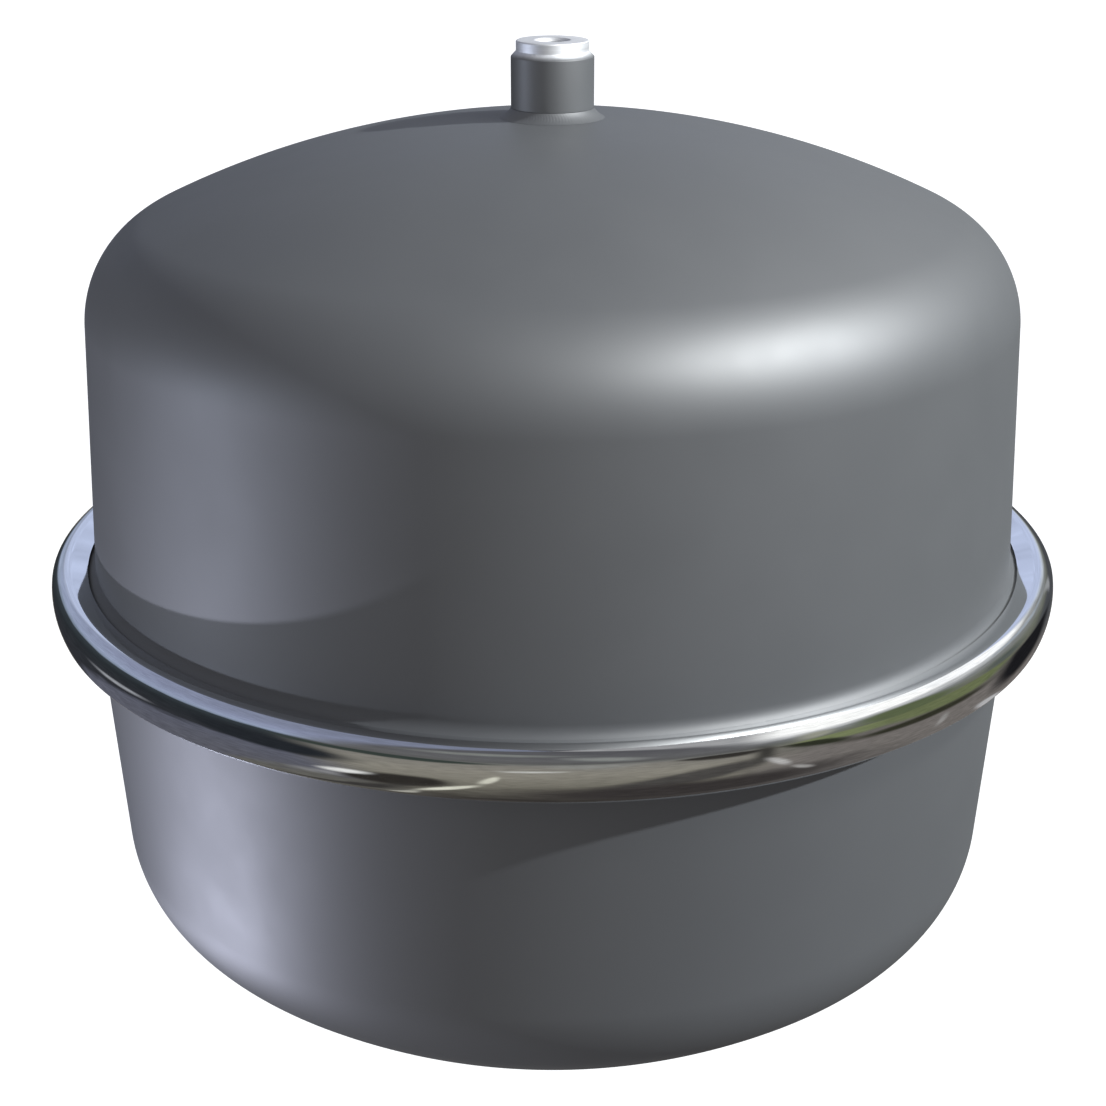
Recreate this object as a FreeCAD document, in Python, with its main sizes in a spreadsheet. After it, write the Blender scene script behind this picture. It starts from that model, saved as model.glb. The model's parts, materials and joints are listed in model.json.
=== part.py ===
import FreeCAD, Part
import math
import os
import Sketcher

# Diaphragm expansion tank for a closed heating system: two drawn steel
# shells, a rubber diaphragm held between their rims by a rolled clamp ring,
# a welded water connection on top and a gas charging valve below.
# Millimetres, +Z up. The origin is on the tank's axis, at the upper end of
# the connection's full diameter, where the pipe fitting stops.

VECTOR = FreeCAD.Vector
DOC = FreeCAD.newDocument("expansion_tank")
SHEET = DOC.addObject("Spreadsheet::Sheet", "Sizes")

SIZES = [
    # Water connection, from its bare spigot down to its weld
    ("stub_radius", 13.22, "outer radius of the connection, three quarter inch thread size"),
    ("stub_length", 15.9, "full diameter above the weld"),
    ("water_bore_radius", 5.0, "water way through the connection"),
    ("bore_chamfer", 0.8, "chamfer at each end of the water way"),
    ("spigot_radius", 11.57, "bare turned spigot at the top"),
    ("spigot_length", 3.25, "straight part of the spigot"),
    ("spigot_edge", 0.3, "broken edge of the spigot"),
    ("shoulder_height", 1.75, "bare cone between the spigot and the full diameter"),
    ("thread_relief", 0.4, "undercut below the full diameter, filled by the weld"),
    ("tail_radius", 11.0, "stepped tail that locates in the shell's hole"),
    ("weld_rise", 2.7, "weld height above the crown's top"),
    ("weld_foot_radius", 16.7, "outer edge of the weld on the shell"),
    ("weld_face_radius", 7.0, "hollow of the weld's face"),
    # Upper shell, the water side
    ("shell_wall", 1.25, "drawn sheet of both shells"),
    ("upper_height", 148.3, "crown's top above the joint plane"),
    ("upper_crown", 302.5, "crown radius"),
    ("upper_knuckle", 35.5, "knuckle radius"),
    ("upper_taper", 2.2, "draft of the wall, degrees"),
    ("upper_foot_radius", 153.7, "wall radius where the rim's fillet starts, sets the tank's width"),
    ("upper_foot_height", 8.5, "height of that place above the joint plane"),
    ("rim_fillet", 5.5, "outside fillet between a wall and its rim"),
    ("upper_rim_slope", 26.0, "fall of the upper rim, degrees"),
    ("upper_rim_setback", 0.9, "upper rim inside the bead channel's outer face"),
    # Lower shell, the gas side
    ("lower_depth", 166.1, "crown's lowest point below the joint plane"),
    ("lower_crown", 208.0, "crown radius"),
    ("lower_knuckle", 38.6, "knuckle radius"),
    ("lower_taper", 3.7, "draft of the wall, degrees"),
    ("lower_rim_flat", 1.0, "level rim between the wall's fillet and the bead channel"),
    ("channel_side", 3.75, "start of the bead channel's round below the joint plane"),
    # Clamp ring
    ("flange_width", 14.6, "largest radius outside the upper wall's foot"),
    ("ring_sheet", 1.5, "rolled strip"),
    ("ring_gap", 0.8, "radial play round the bead channel"),
    ("ring_flank_round", 20.5, "section radius of the flank"),
    ("ring_flank_drop", 0.1, "widest level below the joint plane"),
    ("ring_crest_hollow", 3.4, "inner section radius of the crest"),
    ("ring_lip_width", 11.5, "inner edge of the upper lip inside the largest radius"),
    ("ring_lip_slope", 18.0, "rise of the upper lip, degrees"),
    ("ring_depth", 10.5, "underside below the joint plane"),
    ("ring_foot_round", 4.7, "section radius between flank and underside"),
    ("ring_foot_reach", 0.1, "lower lip past the start of the bead channel's round"),
    # Diaphragm
    ("membrane", 2.0, "rubber wall"),
    ("liner_gap", 0.3, "between the charged diaphragm and the upper shell"),
    ("bead_flat", 0.15, "level part of the clamped bead's floor"),
    ("bead_corner", 1.5, "round at the inner foot of the bead"),
    ("seat_gap", 0.05, "between pieces that are clamped or seated"),
    # Gas valve, levels counted outwards from the lower shell's crown
    ("boss_radius", 10.0, "steel boss welded in the lower shell"),
    ("boss_out", 3.0, "boss outside the shell"),
    ("boss_in", 7.0, "boss inside the shell"),
    ("boss_weld", 2.4, "leg of the boss weld"),
    ("valve_tail_radius", 5.0, "threaded tail of the valve in the boss"),
    ("valve_tail_length", 9.0, "tail inside the boss"),
    ("seal_width", 2.0, "flat seal under the valve's hexagon"),
    ("seal_height", 1.2, "seal thickness"),
    ("collar_flats", 14.0, "width across the valve's hexagon"),
    ("collar_height", 3.4, "hexagon height"),
    ("valve_radius", 3.85, "charging thread size of the valve"),
    ("valve_length", 10.6, "charging end beyond the hexagon"),
    ("valve_edge", 0.5, "chamfer at the charging end"),
    ("core_head_radius", 2.6, "threaded head of the valve core"),
    ("core_recess", 0.8, "core head below the charging end"),
    ("core_head_length", 4.0, "threaded head"),
    ("core_seat_depth", 7.0, "start of the conical seat below the charging end"),
    ("core_seat_length", 0.95, "length of the conical seat"),
    ("core_socket", 1.4, "how far the barrel reaches into the head"),
    ("core_neck_radius", 1.8, "core barrel"),
    ("gas_bore_step", 0.3, "bore below the seat, wider than the barrel"),
    ("core_length", 12.0, "head and barrel together"),
    ("core_chamber_radius", 1.3, "spring chamber in the barrel"),
    ("core_floor", 1.2, "end wall of the spring chamber"),
    ("core_port_radius", 0.75, "hole in that end wall"),
    ("key_slot_width", 1.1, "slot for the core key"),
    ("key_slot_depth", 1.5, "slot depth"),
    ("gasket_height", 1.3, "core gasket"),
    ("pin_radius", 0.42, "core pin"),
    ("pin_head_radius", 0.8, "button of the pin"),
    ("pin_head_height", 0.7, "button height"),
    ("pin_recess", 0.4, "button below the charging end"),
    ("pin_collar_radius", 1.0, "collar that carries the spring"),
    ("pin_collar_height", 0.5, "collar height"),
    ("pin_collar_depth", 5.6, "collar below the charging end"),
    ("pin_tail", 0.4, "riveted end beyond the cup"),
    ("cup_radius", 1.7, "cup on the pin's inner end"),
    ("cup_height", 1.7, "cup height"),
    ("cup_wall", 0.3, "cup floor and rim"),
    ("washer_stand", 0.35, "how far the cup's washer stands out of it"),
    ("spring_wire_radius", 0.12, "core spring wire"),
    ("spring_mean_radius", 0.85, "core spring coil"),
    ("spring_turns", 6.0, "core spring coils"),
    ("cap_radius", 5.4, "plastic cap"),
    ("cap_gap", 0.08, "between cap and valve thread"),
    ("cap_roof", 1.6, "cap end"),
    ("cap_skirt", 8.6, "cap over the valve"),
    ("cap_seal_height", 0.6, "sealing disc in the cap"),
    ("cap_flutes", 14.0, "grip flutes round the cap"),
    ("cap_flute_radius", 0.55, "section radius of a flute"),
    ("cap_edge", 0.6, "chamfer round the cap's end"),
]


def fill_sheet():
    """Writes each size into the sheet with its name as an alias."""
    for row, (name, value, meaning) in enumerate(SIZES, start=1):
        SHEET.set(f"A{row}", meaning)
        SHEET.set(f"B{row}", str(value))
        SHEET.setAlias(f"B{row}", name)
    DOC.recompute()


def value(expression):
    """The number that an expression over the sheet gives."""
    result = SHEET.evalExpression(expression)
    return float(getattr(result, "Value", result))


def number(formula):
    """The number that a formula of size names gives."""
    return value(expand(formula))


def spot(radius, level):
    """A place in a section, from two formulas."""
    return VECTOR(number(radius), number(level), 0)


def expand(text):
    """Turns bare size names in a formula into references to the sheet."""
    words = []
    word = ""
    for sign in text + " ":
        if sign.isalnum() or sign == "_":
            word += sign
            continue
        if word in NAMES:
            word = "Sizes." + word
        words.append(word + sign)
        word = ""
    return "".join(words).strip()


NAMES = {name for name, _, _ in SIZES}
TURN_OVER = FreeCAD.Rotation(VECTOR(1, 0, 0), 180)

# Levels and places that several pieces share, as formulas over the sheet
CROWN_LEVEL = "(stub_length + weld_rise)"
JOINT_LEVEL = "(stub_length + weld_rise + upper_height)"
VALVE_LEVEL = "(stub_length + weld_rise + upper_height + lower_depth)"
CHANNEL_FLOOR = "(ring_depth - ring_sheet - seat_gap)"
CHANNEL_ROUND = f"({CHANNEL_FLOOR} - channel_side)"
RING_RADIUS = "(upper_foot_radius + flange_width)"
RING_CREST = "(ring_sheet + ring_crest_hollow)"
CHANNEL_RADIUS = f"({RING_RADIUS} - ring_sheet - ring_gap)"
CHANNEL_START = f"({CHANNEL_RADIUS} - {CHANNEL_ROUND})"
CHANNEL_CORNER = f"({CHANNEL_ROUND} - shell_wall)"
BEAD_OUTER = f"({CHANNEL_RADIUS} - shell_wall - seat_gap)"
BEAD_INNER = f"({BEAD_OUTER} - {CHANNEL_CORNER} - bead_flat - bead_corner)"
UPPER_RIM_EDGE = f"({CHANNEL_RADIUS} - upper_rim_setback)"
CHARGING_END = "(boss_out + collar_height + valve_length)"
CORE_TOP = f"({CHARGING_END} - core_recess)"
CORE_HEAD_END = f"({CORE_TOP} - core_head_length)"
CORE_END = f"({CORE_TOP} - core_length)"
GAS_BORE = "(core_neck_radius + gas_bore_step)"
SEAT_TOP = f"({CHARGING_END} - core_seat_depth)"
SEAT_END = f"({SEAT_TOP} - core_seat_length)"
CUP_TOP = f"({CORE_END} - washer_stand)"
PIN_COLLAR = f"({CHARGING_END} - pin_collar_depth - pin_collar_height)"
CAP_CEILING = f"({CHARGING_END} + cap_seal_height + 2 * seat_gap)"


def crown_sag(crown, radius):
    """How far a crown has fallen at a radius from the axis."""
    return f"({crown} - sqrt({crown} * {crown} - {radius} * {radius}))"


def bind(sketch, kind, refs, formula):
    """Adds a dimension to a sketch and ties it to the sheet."""
    tied = expand(formula)
    size = value(tied)
    if kind == "Angle":
        size = math.radians(size)
        tied = f"({tied}) * 1 deg"
    index = sketch.addConstraint(Sketcher.Constraint(kind, *refs, size))
    sketch.setExpression(f"Constraints[{index}]", tied)


def place_point(sketch, geometry, end, radius, level):
    """Fixes an end of a curve at a radius and a level."""
    if radius == "0":
        sketch.addConstraint(Sketcher.Constraint("PointOnObject", geometry, end, -2))
    else:
        bind(sketch, "DistanceX", (-1, 1, geometry, end), radius)
    if level == "0":
        sketch.addConstraint(Sketcher.Constraint("PointOnObject", geometry, end, -1))
    else:
        bind(sketch, "DistanceY", (-1, 1, geometry, end), level)


def arc_between(start, end, radius):
    """The short arc that joins two places, run anticlockwise. It bulges to
    the right of the way from start to end, or to the left if the radius is
    negative."""
    chord = end - start
    middle = (start + end) * 0.5
    left = VECTOR(-chord.y, chord.x, 0).normalize()
    reach = math.sqrt(radius * radius - chord.Length ** 2 / 4)
    centre = middle + left * math.copysign(reach, radius)
    top = centre + (middle - centre).normalize() * abs(radius)
    if radius > 0:
        return Part.Arc(start, top, end)
    return Part.Arc(end, top, start)


def closed_outline(sketch, corners):
    """Draws a closed outline. A corner is a radius and a level, and a third
    entry makes the side that leaves it an arc of that radius."""
    spots = [spot(corner[0], corner[1]) for corner in corners]
    ends = []
    for place, corner in enumerate(corners):
        start = spots[place]
        end = spots[(place + 1) % len(spots)]
        ends.append((1, 2))
        if len(corner) == 2:
            sketch.addGeometry(Part.LineSegment(start, end))
            continue
        sketch.addGeometry(arc_between(start, end, number(corner[2])))
        if corner[2].startswith("-"):
            ends[place] = (2, 1)
    for place in range(len(corners)):
        after = (place + 1) % len(corners)
        joint = Sketcher.Constraint("Coincident", place, ends[place][1], after, ends[after][0])
        sketch.addConstraint(joint)
    for place, corner in enumerate(corners):
        place_point(sketch, place, ends[place][0], corner[0], corner[1])
        if len(corner) == 3:
            bind(sketch, "Radius", (place,), corner[2].lstrip("-"))


def origin_plane(body, role):
    """One of a body's own origin planes."""
    return next(f for f in body.Origin.OriginFeatures if f.Role == role)


def new_body(name):
    """A body whose label names the piece."""
    body = DOC.addObject("PartDesign::Body", name)
    body.Label = name
    return body


def new_sketch(body, name, role="XZ_Plane"):
    """A sketch on one of a body's origin planes."""
    sketch = body.newObject("Sketcher::SketchObject", name)
    sketch.AttachmentSupport = [(origin_plane(body, role), "")]
    sketch.MapMode = "FlatFace"
    return sketch


def hexagon(sketch, flats):
    """Draws a hexagon round the sketch's origin with a width across flats."""
    reach = number(flats) / math.sqrt(3)
    corners = [polar(VECTOR(), reach, 60 * side) for side in range(6)]
    for side in range(6):
        sketch.addGeometry(Part.LineSegment(corners[side], corners[(side + 1) % 6]))
    for side in range(6):
        sketch.addConstraint(Sketcher.Constraint("Coincident", side, 2, (side + 1) % 6, 1))
        angle = 60 * side
        bind(sketch, "DistanceX", (-1, 1, side, 1), f"{flats} / sqrt(3) * cos({angle})")
        bind(sketch, "DistanceY", (-1, 1, side, 1), f"{flats} / sqrt(3) * sin({angle})")


def turned(body, name, corners, kind="PartDesign::Revolution"):
    """A feature turned about the body's upright axis."""
    sketch = new_sketch(body, name + "_section")
    closed_outline(sketch, corners)
    feature = body.newObject(kind, name)
    feature.Profile = sketch
    feature.ReferenceAxis = (sketch, ["V_Axis"])
    feature.Angle = 360
    return feature


def stand(piece, level, turn=FreeCAD.Rotation()):
    """Stands a piece on the tank's axis at a level of the sheet."""
    piece.Placement = FreeCAD.Placement(VECTOR(0, 0, 0), turn)
    if level != "0":
        piece.setExpression(".Placement.Base.z", expand(level))
    return piece


def open_section(name):
    """A loose sketch that stands in the XZ plane, for a spun sheet."""
    sketch = DOC.addObject("Sketcher::SketchObject", name + "_section")
    sketch.Placement = FreeCAD.Placement(VECTOR(0, 0, 0), FreeCAD.Rotation(VECTOR(1, 0, 0), 90))
    return sketch


def spun_sheet(name, sketch, thickness):
    """Thickens an open section to one side and spins it about the axis."""
    skin = DOC.addObject("Part::Offset2D", name + "_skin")
    skin.Source = sketch
    skin.Mode = "Skin"
    skin.Fill = True
    skin.Join = "Arc"
    skin.Value = value(expand(thickness))
    skin.setExpression("Value", expand(thickness))
    spun = DOC.addObject("Part::Revolution", name)
    spun.Source = skin
    spun.Axis = VECTOR(0, 0, 1)
    spun.Base = VECTOR(0, 0, 0)
    spun.Angle = 360
    spun.Solid = True
    spun.Label = name
    return spun


def polar(centre, radius, degrees):
    """A place on a circle, at an angle in degrees."""
    angle = math.radians(degrees)
    return VECTOR(centre.x + radius * math.cos(angle), centre.y + radius * math.sin(angle), 0)


def draw_arc(sketch, centre, radius, first, last):
    """Adds an arc that runs anticlockwise between two angles in degrees."""
    middle = polar(centre, radius, (first + last) / 2)
    arc = Part.Arc(polar(centre, radius, first), middle, polar(centre, radius, last))
    return sketch.addGeometry(arc)


def head_section(sketch, side, hole, inset="0"):
    """Crown, knuckle, drafted wall, rim fillet and the start of the rim.
    side gives the formulas of one shell. inset moves the whole line inwards
    by the same distance everywhere. Returns the number of the rim's line."""
    draft = value(expand(side["taper"]))
    fall = value(expand(side["slope"]))
    crown_text = f"{side['crown']} - ({inset})"
    knuckle_text = f"{side['knuckle']} - ({inset})"
    fillet_text = f"{side['fillet']} + ({inset})"
    centre_text = f"{side['height']} - {side['crown']}"
    foot_radius = f"{side['foot']} - ({inset}) * cos({side['taper']})"
    crown_radius = value(expand(crown_text))
    knuckle_radius = value(expand(knuckle_text))
    fillet_radius = value(expand(fillet_text))
    foot_level = f"{side['foot_height']} - ({inset}) * sin({side['taper']})"
    foot = VECTOR(value(expand(foot_radius)), value(expand(foot_level)), 0)
    crown_centre = VECTOR(0, value(expand(centre_text)), 0)
    normal = polar(VECTOR(), 1, draft)
    upward = polar(VECTOR(), 1, 90 + draft)
    # Slide the knuckle up the wall until it touches the crown from inside
    start = foot - normal * knuckle_radius - crown_centre
    along = start.dot(upward)
    reach = (crown_radius - knuckle_radius) ** 2 - start.dot(start) + along * along
    knuckle_centre = foot - normal * knuckle_radius + upward * (math.sqrt(reach) - along)
    lean = knuckle_centre - crown_centre
    meet = math.degrees(math.atan2(lean.y, lean.x))
    hole_radius = value(expand(hole))
    end = math.degrees(math.acos(hole_radius / crown_radius))
    crown = draw_arc(sketch, crown_centre, crown_radius, meet, end)
    knuckle = draw_arc(sketch, knuckle_centre, knuckle_radius, draft, meet)
    wall_top = polar(knuckle_centre, knuckle_radius, draft)
    wall = sketch.addGeometry(Part.LineSegment(foot, wall_top))
    fillet_centre = foot + normal * fillet_radius
    fillet = draw_arc(sketch, fillet_centre, fillet_radius, 180 + draft, 270 - fall)
    rim_start = polar(fillet_centre, fillet_radius, 270 - fall)
    rim_end = rim_start + polar(VECTOR(), 1, -fall) * (value(expand(side["edge"])) - rim_start.x)
    rim = sketch.addGeometry(Part.LineSegment(rim_end, rim_start))
    sketch.addConstraint([
        Sketcher.Constraint("PointOnObject", crown, 3, -2),
        Sketcher.Constraint("Tangent", knuckle, 2, crown, 1),
        Sketcher.Constraint("Tangent", wall, 2, knuckle, 1),
        Sketcher.Constraint("Tangent", fillet, 1, wall, 1),
        Sketcher.Constraint("Tangent", rim, 2, fillet, 2),
    ])
    bind(sketch, "Radius", (crown,), crown_text)
    bind(sketch, "Radius", (knuckle,), knuckle_text)
    bind(sketch, "Radius", (fillet,), fillet_text)
    bind(sketch, "DistanceY", (-1, 1, crown, 3), centre_text)
    if hole == "0":
        sketch.addConstraint(Sketcher.Constraint("PointOnObject", crown, 2, -2))
    else:
        bind(sketch, "DistanceX", (-1, 1, crown, 2), hole)
    bind(sketch, "Angle", (wall,), f"90 + {side['taper']}")
    bind(sketch, "Angle", (rim,), f"180 - {side['slope']}")
    bind(sketch, "DistanceX", (-1, 1, wall, 1), foot_radius)
    bind(sketch, "DistanceY", (-1, 1, wall, 1), foot_level)
    return rim


UPPER = {
    "crown": "upper_crown", "knuckle": "upper_knuckle", "height": "upper_height",
    "taper": "upper_taper", "foot": "upper_foot_radius", "foot_height": "upper_foot_height",
    "fillet": "rim_fillet", "slope": "upper_rim_slope", "edge": UPPER_RIM_EDGE,
}
# The lower shell is drawn upside down. Its rim is level and runs into the bead
# channel, so the channel and the fillet set the wall's foot.
LOWER_FOOT_RADIUS = f"({CHANNEL_START} - lower_rim_flat - rim_fillet * cos(lower_taper))"
LOWER_FOOT = f"({CHANNEL_FLOOR} + rim_fillet - rim_fillet * sin(lower_taper))"
LOWER = {
    "crown": "lower_crown", "knuckle": "lower_knuckle", "height": "lower_depth",
    "taper": "lower_taper", "foot": LOWER_FOOT_RADIUS, "foot_height": LOWER_FOOT,
    "fillet": "rim_fillet", "slope": "0", "edge": CHANNEL_START,
}

UPPER_RIM_RADIUS = "(upper_foot_radius + rim_fillet * (cos(upper_taper) - sin(upper_rim_slope)))"
UPPER_RIM_LEVEL = "(upper_foot_height + rim_fillet * (sin(upper_taper) - cos(upper_rim_slope)))"
UNDER_RIM = "((shell_wall + seat_gap) / cos(upper_rim_slope))"


def upper_rim_level(radius):
    """Level of the upper rim's top face above the joint plane."""
    return f"({UPPER_RIM_LEVEL} - ({radius} - {UPPER_RIM_RADIUS}) * tan(upper_rim_slope))"


def upper_shell():
    """Water side: domed, with a plain rim that falls outwards."""
    sketch = open_section("upper_shell")
    rim = head_section(sketch, UPPER, "tail_radius + 2 * seat_gap")
    bind(sketch, "DistanceX", (-1, 1, rim, 1), UPPER["edge"])
    return stand(spun_sheet("upper_shell", sketch, "shell_wall"), f"-{JOINT_LEVEL}")


def lower_shell():
    """Gas side: domed, its rim rolled up into a channel for the bead. The
    channel's edge ends just under the upper rim."""
    lip_level = f"({upper_rim_level(UPPER_RIM_EDGE)} - {UNDER_RIM})"
    sketch = open_section("lower_shell")
    rim = head_section(sketch, LOWER, "boss_radius + 2 * seat_gap")
    bind(sketch, "DistanceX", (-1, 1, rim, 1), LOWER["edge"])
    round_centre = spot(LOWER["edge"], "channel_side")
    radius = number(CHANNEL_ROUND)
    bend = draw_arc(sketch, round_centre, radius, 0, 90)
    side = polar(round_centre, radius, 0)
    lip = VECTOR(side.x, -number(lip_level), 0)
    edge = sketch.addGeometry(Part.LineSegment(side, lip))
    sketch.addConstraint([
        Sketcher.Constraint("Tangent", rim, 1, bend, 2),
        Sketcher.Constraint("Tangent", edge, 1, bend, 1),
        Sketcher.Constraint("Vertical", edge),
    ])
    bind(sketch, "Radius", (bend,), CHANNEL_ROUND)
    bind(sketch, "DistanceY", (-1, 1, edge, 2), f"-{lip_level}")
    return stand(spun_sheet("lower_shell", sketch, "shell_wall"), f"-{JOINT_LEVEL}", TURN_OVER)


def diaphragm():
    """Rubber cup pressed against the water side by the gas charge, with the
    bead that the rims clamp."""
    sketch = open_section("diaphragm_cup")
    rim = head_section(sketch, UPPER, "0", "shell_wall + liner_gap")
    bind(sketch, "DistanceX", (-1, 1, rim, 1), f"{BEAD_INNER} + membrane")
    cup = spun_sheet("diaphragm_cup", sketch, "membrane")
    floor = f"(seat_gap + shell_wall - {CHANNEL_FLOOR})"
    section = open_section("diaphragm_bead")
    closed_outline(section, [
        (BEAD_INNER, f"{floor} + bead_corner", "bead_corner"),
        (f"{BEAD_INNER} + bead_corner", floor),
        (f"{BEAD_OUTER} - {CHANNEL_CORNER}", floor, CHANNEL_CORNER),
        (BEAD_OUTER, f"{floor} + {CHANNEL_CORNER}"),
        (BEAD_OUTER, f"{upper_rim_level(BEAD_OUTER)} - {UNDER_RIM}"),
        (BEAD_INNER, f"{upper_rim_level(BEAD_INNER)} - {UNDER_RIM}"),
    ])
    bead = DOC.addObject("Part::Revolution", "diaphragm_bead")
    bead.Source = section
    bead.Axis = VECTOR(0, 0, 1)
    bead.Angle = 360
    bead.Solid = True
    whole = DOC.addObject("Part::Fuse", "diaphragm")
    whole.Base = cup
    whole.Tool = bead
    whole.Refine = True
    return stand(whole, f"-{JOINT_LEVEL}")


def clamp_ring():
    """Steel strip rolled round both rims: a lip that slopes down onto the
    upper rim, a rounded crest, a bowed flank and a lip under the channel."""
    lip_radius = f"({RING_RADIUS} - ring_lip_width)"
    seat = f"({upper_rim_level(lip_radius)} + seat_gap)"
    corner_radius = f"({lip_radius} - ring_sheet * sin(ring_lip_slope))"
    corner_level = f"({seat} + ring_sheet * cos(ring_lip_slope))"
    flank_radius = f"({RING_RADIUS} - ring_flank_round)"
    foot_edge = f"({CHANNEL_START} - ring_foot_reach)"
    slope = number("ring_lip_slope")
    crest_size = number(RING_CREST)
    flank_size = number("ring_flank_round")
    foot_size = number("ring_foot_round")
    corner = spot(corner_radius, corner_level)
    flank_centre = spot(flank_radius, "-ring_flank_drop")
    along = polar(VECTOR(), 1, slope)
    # Slide the crest along the lip until it touches the flank from inside
    start = corner - polar(VECTOR(), crest_size, 90 + slope) - flank_centre
    run = start.dot(along)
    reach = (flank_size - crest_size) ** 2 - start.dot(start) + run * run
    crest_centre = flank_centre + start + along * (math.sqrt(reach) - run)
    lean = crest_centre - flank_centre
    upper_meet = math.degrees(math.atan2(lean.y, lean.x))
    foot_level = -number("ring_depth") + foot_size
    drop = foot_level - flank_centre.y
    foot_reach = math.sqrt((flank_size - foot_size) ** 2 - drop * drop)
    foot_centre = VECTOR(flank_centre.x + foot_reach, foot_level, 0)
    lower_meet = math.degrees(math.atan2(drop, foot_reach))
    sketch = open_section("clamp_ring")
    lip_end = polar(crest_centre, crest_size, 90 + slope)
    lip = sketch.addGeometry(Part.LineSegment(corner, lip_end))
    crest = draw_arc(sketch, crest_centre, crest_size, upper_meet, 90 + slope)
    flank = draw_arc(sketch, flank_centre, flank_size, lower_meet, upper_meet)
    foot = draw_arc(sketch, foot_centre, foot_size, -90, lower_meet)
    foot_start = polar(foot_centre, foot_size, -90)
    foot_end = VECTOR(number(foot_edge), foot_start.y, 0)
    under = sketch.addGeometry(Part.LineSegment(foot_start, foot_end))
    sketch.addConstraint([
        Sketcher.Constraint("Tangent", lip, 2, crest, 2),
        Sketcher.Constraint("Tangent", flank, 2, crest, 1),
        Sketcher.Constraint("Tangent", foot, 2, flank, 1),
        Sketcher.Constraint("Tangent", under, 1, foot, 1),
        Sketcher.Constraint("Horizontal", under),
    ])
    place_point(sketch, lip, 1, corner_radius, corner_level)
    bind(sketch, "Angle", (lip,), "ring_lip_slope")
    bind(sketch, "Radius", (crest,), RING_CREST)
    bind(sketch, "Radius", (flank,), "ring_flank_round")
    place_point(sketch, flank, 3, flank_radius, "-ring_flank_drop")
    bind(sketch, "Radius", (foot,), "ring_foot_round")
    place_point(sketch, under, 2, foot_edge, "-ring_depth")
    return stand(spun_sheet("clamp_ring", sketch, "-ring_sheet"), f"-{JOINT_LEVEL}")


def connection_nipple():
    """Turned steel connection: bare spigot and cone, full diameter, and a
    stepped tail in the shell's hole, with the water way through it."""
    top = "(shoulder_height + spigot_length)"
    shoulder = f"(seat_gap - {CROWN_LEVEL} - {crown_sag('upper_crown', 'tail_radius')})"
    tail_end = f"(-{CROWN_LEVEL} - shell_wall)"
    body = new_body("connection_nipple")
    turned(body, "nipple_turning", [
        ("water_bore_radius + bore_chamfer", top),
        ("spigot_radius - spigot_edge", top),
        ("spigot_radius", f"{top} - spigot_edge"),
        ("spigot_radius", "shoulder_height"),
        ("stub_radius", "0"),
        ("stub_radius", "-stub_length"),
        ("stub_radius - thread_relief", "-stub_length"),
        ("stub_radius - thread_relief", shoulder),
        ("tail_radius", shoulder),
        ("tail_radius", tail_end),
        ("water_bore_radius + bore_chamfer", tail_end),
        ("water_bore_radius", f"{tail_end} + bore_chamfer"),
        ("water_bore_radius", f"{top} - bore_chamfer"),
    ])
    return body


def nipple_weld():
    """Hollow-faced weld between the connection and the upper shell."""
    root = "(stub_radius - thread_relief + seat_gap)"
    body = new_body("nipple_weld")
    turned(body, "weld_bead", [
        (root, f"seat_gap - {CROWN_LEVEL} - {crown_sag('upper_crown', root)}"),
        ("weld_foot_radius", f"seat_gap - {CROWN_LEVEL} - {crown_sag('upper_crown', 'weld_foot_radius')}",
         "-weld_face_radius"),
        ("stub_radius", "-stub_length - seat_gap"),
        (root, "-stub_length - seat_gap"),
    ])
    return body


def valve_boss():
    """Steel bush through the lower shell, recessed for the flat seal."""
    bore = "(valve_tail_radius + seat_gap)"
    recess = "(valve_tail_radius + seal_width + seat_gap)"
    body = new_body("valve_boss")
    turned(body, "boss_turning", [
        (bore, "-boss_in"),
        ("boss_radius - bore_chamfer", "-boss_in"),
        ("boss_radius", "bore_chamfer - boss_in"),
        ("boss_radius", "boss_out - valve_edge"),
        ("boss_radius - valve_edge", "boss_out"),
        (recess, "boss_out"),
        (recess, "boss_out - seal_height - seat_gap"),
        (bore, "boss_out - seal_height - seat_gap"),
    ])
    return stand(body, f"-{VALVE_LEVEL}", TURN_OVER)


def valve_boss_weld():
    """Weld between the boss and the lower shell."""
    root = "(boss_radius + seat_gap)"
    foot = f"({root} + boss_weld)"
    body = new_body("valve_boss_weld")
    turned(body, "boss_weld_bead", [
        (root, f"seat_gap - {crown_sag('lower_crown', root)}"),
        (foot, f"seat_gap - {crown_sag('lower_crown', foot)}"),
        (root, f"boss_weld - {crown_sag('lower_crown', root)}"),
    ])
    return stand(body, f"-{VALVE_LEVEL}", TURN_OVER)


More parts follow.
